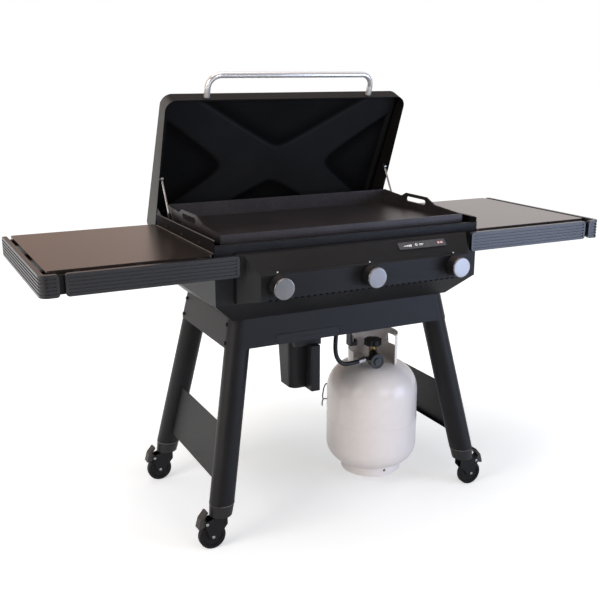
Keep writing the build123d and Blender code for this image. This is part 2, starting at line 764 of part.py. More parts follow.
def make_lamps():
    lamps = [
        extrude(slope_plane(x, LAMP_DOWN) * Circle(LAMP_R), SHEET, both=True)
        for x in (-KNOB_X, 0, KNOB_X)
    ]
    return group(lamps)


def make_knob(x):
    """Black knob body with a stem socket, and the bright cap over its front."""
    face = Plane((x, FASCIA_FACE_Y - KNOB_CLEAR, KNOB_Z), x_dir=(1, 0, 0), z_dir=(0, -1, 0))
    cap_y = KNOB_FACE_Y + KNOB_CAP_L
    body = extrude(face * Circle(KNOB_R), FASCIA_FACE_Y - KNOB_CLEAR - cap_y)
    body -= extrude(face * Circle(STEM_R + RUN_FIT), KNOB_SOCKET)
    front = Plane((x, cap_y, KNOB_Z), x_dir=(1, 0, 0), z_dir=(0, -1, 0))
    cap = extrude(front * Circle(KNOB_CAP_R), KNOB_CAP_L)
    cap = fillet(cap.edges().sort_by(Axis.Y)[0], KNOB_CAP_ROUND)
    return body, cap


def make_gas_train():
    """Burner tubes, valves with stems, manifold with its inlet pipe, and igniters."""
    manifold_y = FASCIA_FACE_Y + MANIFOLD_BACK
    throat = manifold_y + VALVE_BACK
    stem_root = manifold_y - VALVE_FORE
    burners, valves, igniters = [], [], []
    for x in (-KNOB_X, 0, KNOB_X):
        mouth = (x, throat + ORIFICE_L, BURNER_Z)
        burners.append(rod(mouth, (x, BOX_BACK - SHEET, BURNER_Z), BURNER_R))
        valve = rod((x, stem_root, KNOB_Z), (x, throat, KNOB_Z), VALVE_R)
        valve += rod((x, FASCIA_FACE_Y - STEM_OUT, KNOB_Z), (x, stem_root, KNOB_Z), STEM_R)
        neck = VALVE_R / 2
        valve += bar(x - neck, x + neck, manifold_y - neck, throat, KNOB_Z, BURNER_Z + neck)
        valve += rod((x, throat, BURNER_Z), mouth, ORIFICE_R)
        valves.append(valve)
        spark_y = BOX_FRONT + IGNITER_BACK
        near, away = x + BURNER_R, x + BURNER_R + IGNITER_W
        low, high = BURNER_Z - IGNITER_W, BURNER_Z + IGNITER_W
        igniter = bar(near, away, spark_y, spark_y + IGNITER_L, low, high)
        tip = ((near + away) / 2, spark_y + IGNITER_L / 2)
        igniter += rod((*tip, high), (*tip, high + IGNITER_TIP), IGNITER_PIN_R)
        igniters.append(igniter)
    reach = KNOB_X + 2 * MANIFOLD_HALF
    pipe = bar(
        -reach,
        reach,
        manifold_y - MANIFOLD_HALF,
        manifold_y + MANIFOLD_HALF,
        MANIFOLD_Z - MANIFOLD_HALF,
        MANIFOLD_Z + MANIFOLD_HALF,
    )
    x, y, _ = HOSE_ROUTE[-1]
    elbow = (x, y, MANIFOLD_Z)
    pipe += rod((x, manifold_y, MANIFOLD_Z), elbow, PIPE_R)
    pipe += rod(elbow, HOSE_ROUTE[-1], PIPE_R)
    pipe += Pos(*elbow) * Sphere(PIPE_R)
    pipe += Pos(*HOSE_ROUTE[-1]) * extrude(RegularPolygon(INLET_NUT_R, 6), INLET_NUT_H)
    return burners, valves, igniters, pipe


burners, valves, igniters, manifold = make_gas_train()
nodes["hinge_arms"] = make_hinge_arms()
strut_posts = []
for sign, side in ((-1, "left"), (1, "right")):
    tube, inner, post = make_strut(sign)
    nodes["strut_cylinder_" + side] = tube
    nodes["strut_rod_" + side] = inner
    strut_posts.append(post)
nodes["hinge_pins"] = group([make_hinge_pins()] + strut_posts)
inlet_x = HOSE_ROUTE[-1][0]
firebox["front"] -= rod(
    (inlet_x, BOX_FRONT - SHEET, MANIFOLD_Z), (inlet_x, BOX_FRONT + 2 * SHEET, MANIFOLD_Z), PIPE_R
)
nodes["firebox_walls"] = group(firebox.values())
nodes["control_fascia"] = make_fascia()
nodes["display"] = make_display()
nodes["indicator_lamps"] = make_lamps()
for x, place in ((-KNOB_X, "left"), (0, "middle"), (KNOB_X, "right")):
    body, cap = make_knob(x)
    nodes["knob_body_" + place] = body
    nodes["knob_cap_" + place] = cap
nodes["burners"] = group(burners)
nodes["gas_valves"] = group(valves)
nodes["igniters"] = group(igniters)
nodes["gas_manifold"] = manifold


def rail_ring(depth_from, depth_to, z0, z1):
    """A band round both shelves between two depths behind the rails' outer face."""
    outer = RectangleRounded(
        2 * (RAIL_OUT - depth_from), -2 * (RAIL_FRONT + depth_from), RAIL_CORNER_R - depth_from
    )
    inner = RectangleRounded(
        2 * (RAIL_OUT - depth_to), -2 * (RAIL_FRONT + depth_to), RAIL_CORNER_R - depth_to
    )
    return extrude(Pos(0, 0, z0) * (outer - inner), z1 - z0)


def make_rail(x0, x1, y_end):
    """A ribbed rail: the band between two X values and up to a rear end, with long grooves."""
    low = RAIL_TOP - RAIL_H
    front = RAIL_FRONT - 1
    rail = rail_ring(0, RAIL_T, low, RAIL_TOP) & bar(x0, x1, front, y_end, low, RAIL_TOP)
    field = RAIL_H - 2 * RAIL_BORDER
    groove_h = (field - RAIL_RIBS * RAIL_RIB_H) / (RAIL_RIBS + 1)
    shrink = RAIL_BORDER if x1 > x0 else -RAIL_BORDER
    wraps = y_end > 0
    x_end = x1 if wraps else x1 - shrink
    y_stop = y_end - RAIL_BORDER if wraps else y_end
    for i in range(RAIL_RIBS + 1):
        z = low + RAIL_BORDER + i * (groove_h + RAIL_RIB_H)
        groove = rail_ring(0, RAIL_GROOVE, z, z + groove_h)
        rail -= groove & bar(x0 + shrink, x_end, front, y_stop, low, RAIL_TOP)
    mid_z = low + RAIL_H / 2
    run_x = FAR if wraps else x1 - x0
    front_view = Plane((x0 + run_x / 2, 0, mid_z), x_dir=(1, 0, 0), z_dir=(0, -1, 0))
    rail &= extrude(front_view * RectangleRounded(run_x, RAIL_H, RAIL_END_R), FAR, both=True)
    if wraps:
        side_view = Plane((0, y_end - FAR / 2, mid_z), x_dir=(0, 1, 0), z_dir=(1, 0, 0))
        rail &= extrude(side_view * RectangleRounded(FAR, RAIL_H, RAIL_END_R), FAR, both=True)
    return rail


def shelf_form(sign, inset, low, high):
    """The shelf's rounded outline between two heights, drawn in by an inset."""
    x = sign * (SHELF_IN + SHELF_OUT) / 2
    y = (SHELF_FRONT + SHELF_BACK) / 2
    outline = RectangleRounded(
        SHELF_OUT - SHELF_IN - 2 * inset, SHELF_BACK - SHELF_FRONT - 2 * inset, SHELF_CORNER_R - inset
    )
    return extrude(Pos(x, y, low) * outline, high - low)


def make_shelf(sign):
    low = SHELF_Z - SHELF_LIP
    return shelf_form(sign, 0, low, SHELF_Z) - shelf_form(sign, SHEET, low - 1, SHELF_Z - SHEET)


def make_shelf_supports():
    """Bars under the shelves from the firebox sides, and the blocks that stand the rails off."""
    pieces = []
    low = SHELF_Z - SHELF_LIP
    z0, z1 = low + BLOCK_LOW, SHELF_Z - BLOCK_TOP
    half = BLOCK_W / 2
    mid_x, mid_y = (SHELF_IN + SHELF_OUT - BLOCK_END) / 2, (SHELF_FRONT + SHELF_BACK) / 2
    for sign in SIDES:
        for y in (SHELF_FRONT + ARM_BAR_IN, SHELF_BACK - ARM_BAR_IN):
            ends = sign * BOX_HALF_W, sign * (SHELF_OUT - 2 * SHEET)
            pieces.append(bar(*ends, y - ARM_BAR_W / 2, y + ARM_BAR_W / 2, low - ARM_BAR_H, low))
        for x in (SHELF_IN + BLOCK_END, mid_x, FRONT_RAIL_OUT - BLOCK_END):
            x *= sign
            pieces.append(bar(x - half, x + half, RAIL_FRONT + RAIL_T, SHELF_FRONT, z0, z1))
        for y in (SHELF_FRONT + BLOCK_END, mid_y, SHELF_BACK - BLOCK_END):
            ends = sign * SHELF_OUT, sign * (RAIL_OUT - RAIL_T)
            pieces.append(bar(*ends, y - half, y + half, z0, z1))
    return group(pieces)


def skirt_outline(z, inset):
    x, y = leg_axis(z)
    edge = LEG_R + SKIRT_FIT + SHEET
    return Pos(0, 0, z) * RectangleRounded(
        2 * (x + edge - inset), 2 * (y + edge - inset), edge - inset
    )


def make_skirt():
    """Four sheet panels round the leg tops, with a notch for the bucket in the front one."""
    forms = [
        loft([skirt_outline(z, inset).face() for z in (SKIRT_LOW_Z, BOX_BASE_Z)], ruled=True)
        for inset in (0, SHEET)
    ]
    band = forms[0] - forms[1]
    seam = leg_axis(BOX_BASE_Z)[0] - 1
    front = band & bar(-seam, seam, -FAR, 0, 0, FAR)
    rear = band & bar(-seam, seam, 0, FAR, 0, FAR)
    left = band & bar(-FAR, -seam, -FAR, FAR, 0, FAR)
    right = band & bar(seam, FAR, -FAR, FAR, 0, FAR)
    width = NOTCH_RIGHT - NOTCH_LEFT
    height = 2 * (NOTCH_Z - SKIRT_LOW_Z)
    face = Plane(((NOTCH_LEFT + NOTCH_RIGHT) / 2, 0, SKIRT_LOW_Z), x_dir=(1, 0, 0), z_dir=(0, -1, 0))
    notch = extrude(face * RectangleRounded(width, height, NOTCH_R), FAR)
    shy = 2 * GAP
    flap = extrude(face * RectangleRounded(width - 2 * shy, height - 2 * shy, NOTCH_R - shy), FAR)
    return group([front - notch, rear, left, right]), front & flap


def leg_line(sx, sy):
    """Two points on one leg's axis, beyond its level ends."""
    points = []
    for z in (0, LEG_HIGH_Z + 2 * LEG_R):
        x, y = leg_axis(z)
        points.append((sx * x, sy * y, z))
    return points


def make_legs():
    """Splayed tubes, cut level at both ends, and the moulded collars under them."""
    legs, collars = [], []
    for sx in SIDES:
        for sy in SIDES:
            ends = leg_line(sx, sy)
            tube = rod(*ends, LEG_R) - rod(*ends, LEG_R - LEG_WALL)
            legs.append(tube & bar(-FAR, FAR, -FAR, FAR, LEG_LOW_Z, LEG_HIGH_Z))
            top = Pos(sx * LEG_LOW_X, sy * LEG_LOW_Y, LEG_LOW_Z) * Circle(LEG_R)
            base = Pos(sx * CASTER_X, sy * CASTER_Y, COLLAR_LOW_Z) * Circle(COLLAR_LOW_R)
            collar = loft([base.face(), top.face()], ruled=True)
            hole = Pos(sx * CASTER_X, sy * CASTER_Y, COLLAR_LOW_Z - 1) * Circle(STEM_PIN_R + RUN_FIT)
            collars.append(collar - extrude(hole, STEM_PIN_L + 2 * GAP + 1))
    return group(legs), group(collars)


def make_side_panels():
    """Folded sheet panels between the front and rear leg of each side, in the legs' lean."""
    panels = []
    for sign in SIDES:
        x_low, y_low = leg_axis(PANEL_LOW_Z)
        low_out = sign * (x_low + PANEL_OUT)
        high_out = sign * (leg_axis(PANEL_HIGH_Z)[0] + PANEL_OUT)
        back = sign * -SHEET
        face = Polyline(
            (low_out, PANEL_LOW_Z),
            (high_out, PANEL_HIGH_Z),
            (high_out + back, PANEL_HIGH_Z),
            (low_out + back, PANEL_LOW_Z),
            close=True,
        )
        plane = Plane((0, -y_low, 0), x_dir=(1, 0, 0), z_dir=(0, -1, 0))
        panel = extrude(plane * make_face(face), -2 * y_low)
        for x, z, step in ((high_out, PANEL_HIGH_Z, -SHEET), (low_out, PANEL_LOW_Z, SHEET)):
            panel += bar(x + back, x - sign * PANEL_FOLD, -y_low, y_low, z, z + step)
        for sy in SIDES:
            panel -= rod(*leg_line(sign, sy), LEG_R)
        panels.append(panel.solids().sort_by(SortBy.VOLUME)[-1])
    return group(panels)


def make_caster(sx, sy):
    """One caster trailing outwards: fork with stem and rivets, wheel, and brake pedal."""
    crown_top = COLLAR_LOW_Z - GAP
    plate_y = WHEEL_W / 2 + FORK_GAP
    base = Pos(0, 0, crown_top - FORK_CROWN_H)
    fork = base * extrude(Circle(FORK_CROWN_R), FORK_CROWN_H)
    fork += Pos(0, 0, crown_top) * extrude(Circle(STEM_PIN_R), STEM_PIN_L)
    toe, drop = FORK_TOE
    ear, rise = FORK_EAR
    outline = [
        (-FORK_HALF, crown_top),
        (FORK_HALF, crown_top),
        (PEDAL_X + ear, PEDAL_Z + rise),
        (PEDAL_X + ear, PEDAL_Z - rise),
        (CASTER_TRAIL + toe, WHEEL_R - drop),
        (CASTER_TRAIL - toe, WHEEL_R - drop),
        (-FORK_HALF, FORK_BACK_Z),
    ]
    face = make_face(Polyline(*[(x, 0, z) for x, z in outline], close=True))
    for side in SIDES:
        fork += Pos(0, side * plate_y, 0) * extrude(face, FORK_T, dir=(0, side, 0))
    outer = plate_y + FORK_T + RIVET_H
    pins = ((CASTER_TRAIL, WHEEL_R, AXLE_R), (PEDAL_X, PEDAL_Z, PEDAL_PIN_R))
    for x, z, radius in pins:
        fork += rod((x, -outer, z), (x, outer, z), radius)
    rim = Plane((CASTER_TRAIL, 0, WHEEL_R), x_dir=(1, 0, 0), z_dir=(0, 1, 0))
    wheel = extrude(rim * Circle(WHEEL_R), WHEEL_W / 2, both=True)
    wheel = fillet(wheel.edges().filter_by(GeomType.CIRCLE), TYRE_R)
    wheel -= extrude(rim * Circle(AXLE_R + RUN_FIT), WHEEL_W, both=True)
    hub = Plane((PEDAL_X, 0, PEDAL_Z), x_dir=(1, 0, 0), z_dir=(0, 1, 0))
    half = plate_y - GAP
    pedal = extrude(hub * Circle(PEDAL_PIN_R + PEDAL_HUB), half, both=True)
    fold = [(PEDAL_X + x, 0, PEDAL_Z + z) for x, z in PEDAL_FOLD]
    pedal += extrude(make_face(Polyline(*fold, close=True)), half, both=True)
    pedal -= extrude(hub * Circle(PEDAL_PIN_R + RUN_FIT), WHEEL_W, both=True)
    place = Pos(sx * CASTER_X, sy * CASTER_Y, 0)
    turn = Rot(0, 0, 0 if sx > 0 else 180)
    return place * turn * fork, place * turn * wheel, place * turn * pedal


def bucket_form(inset, low):
    """The bucket's tapered rounded form, drawn in by an inset."""
    y = BUCKET_FRONT + BUCKET_D / 2
    faces = []
    for z, taper in ((BUCKET_LOW_Z, BUCKET_TAPER), (BUCKET_TOP_Z, 0)):
        shrink = 2 * (inset + taper)
        outline = RectangleRounded(BUCKET_W - shrink, BUCKET_D - shrink, BUCKET_CORNER_R - inset)
        faces.append((Pos(BUCKET_X, y, z) * outline).face())
    return loft(faces, ruled=True) & bar(-FAR, FAR, -FAR, FAR, low, BUCKET_TOP_Z)


def make_bucket(flap):
    """Grease bucket with side lips, a pull grip, and the flap that fills the skirt's notch."""
    bucket = bucket_form(0, BUCKET_LOW_Z)
    y0 = BUCKET_FRONT + BUCKET_CORNER_R
    y1 = BUCKET_FRONT + BUCKET_D - BUCKET_CORNER_R
    reach = BUCKET_W / 2 + BUCKET_RIM
    lips = bar(
        BUCKET_X - reach, BUCKET_X + reach, y0, y1, BUCKET_TOP_Z - LIP_T, BUCKET_TOP_Z
    )
    web = bar(
        BUCKET_X - WEB_HALF,
        BUCKET_X + WEB_HALF,
        BUCKET_FRONT - WEB_FRONT,
        BUCKET_FRONT + WEB_DEEP,
        BUCKET_TOP_Z - WEB_H,
        SKIRT_LOW_Z + WEB_H,
    )
    grip_x = BUCKET_X + GRIP_SIDE
    grip = bar(
        grip_x - GRIP_W / 2,
        grip_x + GRIP_W / 2,
        BUCKET_FRONT - GRIP_D,
        BUCKET_FRONT + 2 * BUCKET_TAPER,
        BUCKET_LOW_Z,
        BUCKET_TOP_Z - GRIP_DROP,
    )
    grip = fillet(grip.edges().filter_by(Axis.Z), GRIP_CORNER_R)
    flap_y = -leg_axis(SKIRT_LOW_Z)[1] - LEG_R - SKIRT_FIT
    web += bar(
        BUCKET_X - WEB_HALF,
        BUCKET_X + WEB_HALF,
        flap_y,
        BUCKET_FRONT - WEB_FRONT + 1,
        SKIRT_LOW_Z + 2,
        SKIRT_LOW_Z + WEB_H,
    )
    bucket += lips + web + grip + flap
    return bucket - bucket_form(SHEET, BUCKET_LOW_Z + SHEET)


def make_bucket_holder():
    """Two hanging angles under the firebox floor that carry the bucket's lips."""
    rails = []
    ledge_top = BUCKET_TOP_Z - LIP_T - GAP
    for sign in SIDES:
        inner = BUCKET_X + sign * (BUCKET_W / 2 + HOLDER_CLEAR)
        outer = BUCKET_X + sign * (BUCKET_W / 2 + BUCKET_RIM + GAP)
        edge = outer + sign * HOLDER_T
        y0 = BUCKET_FRONT + HOLDER_FRONT
        y1 = BUCKET_FRONT + BUCKET_D
        rail = bar(inner, edge, y0, y1, ledge_top - HOLDER_T, ledge_top)
        rail += bar(outer, edge, y0, y1, ledge_top - HOLDER_T, BOX_BASE_Z)
        rails.append(rail)
    return group(rails)


def make_chute():
    """Upright duct from the griddle's drain slot down to the bucket, flanged on the floor."""
    x0, x1 = DRAIN_X - CHUTE_HALF_X, DRAIN_X + CHUTE_HALF_X
    y0, y1 = DRAIN_Y - CHUTE_HALF_Y, DRAIN_Y + CHUTE_HALF_Y
    chute = bar(x0, x1, y0, y1, CHUTE_LOW_Z, CHUTE_TOP_Z)
    floor_top = BOX_BASE_Z + SHEET
    chute += bar(
        x0 - CHUTE_FLANGE,
        x1 + CHUTE_FLANGE,
        y0 - CHUTE_FLANGE / 2,
        y1 + CHUTE_FLANGE,
        floor_top,
        floor_top + SHEET,
    )
    return chute - bar(x0 + SHEET, x1 - SHEET, y0 + SHEET, y1 - SHEET, 0, FAR)


def make_floor():
    base_x, base_y = base_half()
    inlet = HOSE_ROUTE[-1]
    floor = bar(-base_x, base_x, -base_y, base_y, BOX_BASE_Z, BOX_BASE_Z + SHEET)
    return floor - chute_hole - rod(inlet, (*inlet[:2], BOX_BASE_Z + 2 * SHEET), PIPE_R)


def tank_form(inset):
    """Upright cylinder with rounded ends, drawn in by an inset."""
    radius = TANK_R - inset
    low = TANK_DOME_LOW_Z + inset
    high = TANK_DOME_TOP_Z - inset
    can = Pos(TANK_X, TANK_Y, low) * extrude(Circle(radius), high - low)
    rims = can.edges().filter_by(GeomType.CIRCLE).sort_by(Axis.Z)
    can = fillet(rims[0], TANK_LOW_ROUND - inset)
    rim = can.edges().filter_by(GeomType.CIRCLE).sort_by(Axis.Z)[-1]
    return fillet(rim, TANK_TOP_ROUND - inset)


def tank_ring(radius, wall, z0, z1):
    ring = Pos(TANK_X, TANK_Y, z0) * (Circle(radius) - Circle(radius - wall))
    return extrude(ring, z1 - z0)


def make_tank():
    """Welded shell with its foot ring, and the collar with its hand holes."""
    solid = tank_form(0)
    foot_top = TANK_DOME_LOW_Z + TANK_LOW_ROUND
    foot = tank_ring(TANK_FOOT_R, TANK_WALL, TANK_LOW_Z, foot_top) - solid
    foot = foot.solids().sort_by(Axis.Z)[0]
    shell = solid - tank_form(TANK_WALL) + foot
    collar_low = TANK_DOME_TOP_Z - TANK_TOP_ROUND
    collar = tank_ring(COLLAR_R, COLLAR_T, collar_low, COLLAR_TOP_Z) - solid
    collar = collar.solids().sort_by(Axis.Z)[-1]
    mouth = Pos(TANK_X, TANK_Y, 0) * Rot(0, 0, COLLAR_MOUTH_TURN)
    wide = COLLAR_R * sin(radians(COLLAR_OPEN / 2))
    collar -= mouth * bar(0, 2 * COLLAR_R, -wide, wide, 0, FAR)
    for turn in (180, 0):
        hole_z = COLLAR_TOP_Z - HAND_HOLE_DOWN - HAND_HOLE_H / 2
        face = Plane((TANK_X, TANK_Y, hole_z), x_dir=(0, 1, 0), z_dir=(1, 0, 0))
        hole = extrude(face * RectangleRounded(HAND_HOLE_W, HAND_HOLE_H, HAND_HOLE_R), 2 * COLLAR_R)
        collar -= hole.rotate(Axis((TANK_X, TANK_Y, 0), (0, 0, 1)), turn)
    return shell, collar


def make_tank_hanger():
    """Strap under the firebox floor with a hook through the collar's left hand hole."""
    wall = TANK_X - COLLAR_R
    x0, x1 = wall - 2 * HANGER_T, wall - HANGER_T
    tip = wall + COLLAR_T + HANGER_CLEAR
    y0, y1 = TANK_Y - HANGER_W / 2, TANK_Y + HANGER_W / 2
    top = COLLAR_TOP_Z - HAND_HOLE_DOWN
    low = top - HANGER_H
    strap = bar(x0, x1, y0, y1, low, BOX_BASE_Z)
    strap += bar(x0, tip + HANGER_T, y0, y1, low, top)
    strap += bar(tip, tip + HANGER_T, y0, y1, low, top + HANGER_LIP)
    strap += bar(x0 - HANGER_PAD, x1, y0, y1, BOX_BASE_Z - 2 * SHEET, BOX_BASE_Z)
    return strap


def make_tank_valve():
    """Valve body on the tank's top with its outlet, and the hand wheel over it."""
    seat = TANK_DOME_TOP_Z - 2
    valve = rod((TANK_X, TANK_Y, seat), (TANK_X, TANK_Y, TANK_VALVE_TOP_Z), TANK_VALVE_R)
    valve += rod((TANK_X, TANK_Y, REG_Z), outlet_point(OUTLET_L), OUTLET_R)
    spindle_top = TANK_VALVE_TOP_Z + HANDWHEEL_T - SPINDLE_SHY
    valve += rod((TANK_X, TANK_Y, TANK_VALVE_TOP_Z), (TANK_X, TANK_Y, spindle_top), SPINDLE_R)
    valve -= tank_form(0)
    base = Pos(TANK_X, TANK_Y, TANK_VALVE_TOP_Z + GAP)
    wheel = base * extrude(Circle(HANDWHEEL_R), HANDWHEEL_T)
    notch = Pos(HANDWHEEL_R + NOTCH_OUT, 0, 0) * extrude(Circle(NOTCH_CUT_R), HANDWHEEL_T)
    for i in range(NOTCH_COUNT):
        wheel -= base * Rot(0, 0, 360 * i / NOTCH_COUNT) * notch
    wheel -= base * extrude(Circle(SPINDLE_R + RUN_FIT), HANDWHEEL_T - SPINDLE_SHY + GAP)
    return valve, wheel


def outlet_point(distance):
    """A point on the line from the tank valve to the regulator."""
    dx, dy = REG_X - TANK_X, REG_Y - TANK_Y
    reach = hypot(dx, dy)
    return TANK_X + dx * distance / reach, TANK_Y + dy * distance / reach, REG_Z


def make_regulator():
    """Coupling nut, round regulator housing facing the front, and the hose ferrule."""
    reach = hypot(REG_X - TANK_X, REG_Y - TANK_Y)
    nut_end = outlet_point(OUTLET_L + NUT_L)
    nut = rod(outlet_point(OUTLET_L), nut_end, NUT_R)
    neck = rod(nut_end, outlet_point(reach), REG_NECK_R)
    face = Plane((REG_X, REG_Y - REG_T / 2, REG_Z), x_dir=(1, 0, 0), z_dir=(0, 1, 0))
    house = extrude(face * Circle(REG_R), REG_T)
    house = fillet(house.edges().filter_by(GeomType.CIRCLE), REG_ROUND)
    house += extrude(face * Circle(REG_R * REG_BOSS), -REG_BOSS_H)
    first, second = Vector(*HOSE_ROUTE[0]), Vector(*HOSE_ROUTE[1])
    back = (first - second).normalized()
    ferrule = rod(first, first + back * FERRULE_L, FERRULE_R)
    ferrule += rod(first, first + back * (REG_X - first.X), TAIL_R)
    return nut + neck + house + ferrule


def make_hose():
    """Rubber hose from the ferrule up to the manifold's inlet, as runs and tangent arcs."""
    points = [Vector(*p) for p in HOSE_ROUTE]
    radii = []
    for a, b, c in zip(points, points[1:], points[2:]):
        turn = radians((b - a).get_angle(c - b))
        run = min((b - a).length, (c - b).length)
        radii.append(HOSE_BEND * run / tan(turn / 2))
    path = FilletPolyline(*HOSE_ROUTE, radius=radii)
    start = Plane(points[0], z_dir=points[1] - points[0])
    hose = sweep(start * Circle(HOSE_R), path=path)
    print("hose radii", [round(r, 1) for r in radii], "length", round(path.length, 1))
    print("hose volume ratio", round(hose.volume / (pi * HOSE_R**2 * path.length), 4))
    return hose


def make_bolts():
    """Button heads on the skirt's sides, two into each leg top."""
    heads = []
    for sx in SIDES:
        for sy in SIDES:
            for z in (SKIRT_LOW_Z + BOLT_LOW, BOX_BASE_Z - BOLT_HIGH):
                x, y = leg_axis(z)
                at = (sx * (x + LEG_R + SKIRT_FIT + SHEET), sy * y, z)
                face = Plane(at, z_dir=(sx, 0, LEG_LEAN_X))
                head = extrude(face * Circle(BOLT_R), BOLT_H)
                rims = head.edges().filter_by(GeomType.CIRCLE).sort_by(Axis.X)
                heads.append(fillet(rims[-1 if sx > 0 else 0], BOLT_ROUND))
    return group(heads)


def mirrored(shape):
    return mirror(shape, about=Plane.YZ)


for sign, side in ((-1, "left"), (1, "right")):
    nodes["shelf_" + side] = make_shelf(sign)
front_rail = make_rail(FRONT_RAIL_IN, FRONT_RAIL_OUT, RAIL_FRONT + 2 * RAIL_T)
end_rail = make_rail(END_RAIL_IN, RAIL_OUT, SHELF_BACK)
nodes["front_rails"] = group([front_rail, mirrored(front_rail)])
nodes["end_rails"] = group([end_rail, mirrored(end_rail)])
nodes["shelf_supports"] = make_shelf_supports()
nodes["cart_skirt"], flap = make_skirt()
nodes["legs"], nodes["leg_collars"] = make_legs()
nodes["leg_side_panels"] = make_side_panels()
for sy, end in ((-1, "front"), (1, "rear")):
    for sx, side in ((-1, "left"), (1, "right")):
        fork, wheel, pedal = make_caster(sx, sy)
        nodes[f"caster_fork_{end}_{side}"] = fork
        nodes[f"caster_wheel_{end}_{side}"] = wheel
        nodes[f"brake_pedal_{end}_{side}"] = pedal
nodes["grease_bucket"] = make_bucket(flap)
nodes["bucket_holder"] = make_bucket_holder()
nodes["grease_chute"] = make_chute()
nodes["firebox_floor"] = make_floor()
nodes["tank_shell"], nodes["tank_collar"] = make_tank()
nodes["tank_hanger"] = make_tank_hanger()
nodes["tank_valve"], nodes["tank_handwheel"] = make_tank_valve()
nodes["regulator"] = make_regulator()
nodes["gas_hose"] = make_hose()
nodes["frame_bolts"] = make_bolts()

# The origin goes to the middle of the part's depth, between the knob faces and the open lid
rear = nodes["lid_shell"].bounding_box().max.Y
shift = Pos(0, -(KNOB_FACE_Y + rear) / 2, 0)
print("depth shift", round(-(KNOB_FACE_Y + rear) / 2, 3))
os.makedirs("parts", exist_ok=True)
for name, shape in nodes.items():
    placed = Compound([shift * solid for solid in shape.solids()])
    export_step(placed, f"parts/{name}.step")
print(len(nodes), "nodes")
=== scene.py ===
import json

import bmesh
import bpy
import numpy as np
from mathutils import Matrix, Vector


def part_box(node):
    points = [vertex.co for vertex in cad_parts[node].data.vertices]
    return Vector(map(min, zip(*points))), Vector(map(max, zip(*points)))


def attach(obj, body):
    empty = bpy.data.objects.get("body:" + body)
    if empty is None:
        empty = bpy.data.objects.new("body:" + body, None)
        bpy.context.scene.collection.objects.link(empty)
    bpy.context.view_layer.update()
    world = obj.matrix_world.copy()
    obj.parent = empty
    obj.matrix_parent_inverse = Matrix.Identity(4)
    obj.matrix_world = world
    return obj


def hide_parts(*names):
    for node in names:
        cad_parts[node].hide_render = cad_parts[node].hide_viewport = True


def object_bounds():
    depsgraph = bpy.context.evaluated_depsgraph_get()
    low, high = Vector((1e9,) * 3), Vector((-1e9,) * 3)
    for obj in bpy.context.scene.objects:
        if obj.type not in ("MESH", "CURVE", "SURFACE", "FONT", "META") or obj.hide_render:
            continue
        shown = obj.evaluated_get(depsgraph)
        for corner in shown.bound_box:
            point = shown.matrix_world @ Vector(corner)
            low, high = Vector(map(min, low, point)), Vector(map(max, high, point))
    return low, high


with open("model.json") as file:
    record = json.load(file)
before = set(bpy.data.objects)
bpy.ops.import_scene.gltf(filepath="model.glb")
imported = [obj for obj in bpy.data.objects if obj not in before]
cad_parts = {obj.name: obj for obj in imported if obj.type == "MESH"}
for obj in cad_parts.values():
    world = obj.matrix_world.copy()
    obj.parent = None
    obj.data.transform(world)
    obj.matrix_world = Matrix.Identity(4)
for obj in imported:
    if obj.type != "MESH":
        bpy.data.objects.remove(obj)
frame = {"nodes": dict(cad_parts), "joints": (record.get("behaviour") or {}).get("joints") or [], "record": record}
cad_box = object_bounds()

# %% [markdown]
# # A gas griddle on its cart
# The solids of the griddle come ready-made and in place: sheet-metal box, lid, shelves, legs,
# casters and gas cylinder. This lesson dresses them. Each step makes one piece or one finish:
# first the camera and the light, then the finishes of the metal, then the pieces whose small
# shapes a plain solid doesn't have, such as the pressed lid liner, the welded gas cylinder and
# the moulded wheels.

# %% Sizes read from the solids
scene = bpy.context.scene
nodes = frame["nodes"]
low, high = (np.array(corner) for corner in cad_box)
print("box of the solids, metres:", np.round(high - low, 4))


def middle(node):
    """The centre of a node's box."""
    return (np.array(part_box(node)[0]) + np.array(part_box(node)[1])) / 2


# %% [markdown]
# ## Camera
# The view is a little above the shelves and to the left of the knobs. The place and the lens
# were found by matching the long straight edges of the shelves and the cooking plate. The
# camera looks along a direction given by a turn about Z and a tilt down.

# %% Camera
CAMERA_AT = (-1.3023, -2.5073, 1.4079)
CAMERA_TURN = -26.63
CAMERA_TILT = 14.90
FOCAL_PIXELS = 871.7
IMAGE_PIXELS = 600
SENSOR_MM = 36.0

camera_data = bpy.data.cameras.new("camera")
camera_data.sensor_width = SENSOR_MM
camera_data.sensor_fit = "HORIZONTAL"
camera_data.lens = SENSOR_MM * FOCAL_PIXELS / IMAGE_PIXELS
camera = bpy.data.objects.new("camera", camera_data)
turn = Matrix.Rotation(np.radians(CAMERA_TURN), 4, "Z")
tilt = Matrix.Rotation(np.radians(90 - CAMERA_TILT), 4, "X")
camera.matrix_world = Matrix.Translation(CAMERA_AT) @ turn @ tilt
scene.collection.objects.link(camera)
scene.camera = camera
scene.view_settings.view_transform = "Standard"
print("lens", round(camera_data.lens, 2), "mm")

# %% [markdown]
# ## Light and floor
# A studio for black metal is a question of what the metal mirrors. Broad soft lamps above, on
# the left and in front give long calm highlights. A cool lamp stands low in front on the right,
# where the knobs mirror it, so the control panel turns blue towards its right end. The floor
# glows only for rays that come from the camera or from a mirror, and less near the cart, so
# that the cart's shadow shows. The world is white for the camera and a faint even light for the
# rest. In a mirror it is a white backdrop behind the griddle, warmer and dimmer on the left,
# which fades to a dark room in front, under a pale ceiling.

# %% Lamps
CENTRE = Vector((0, 0, 0.75))


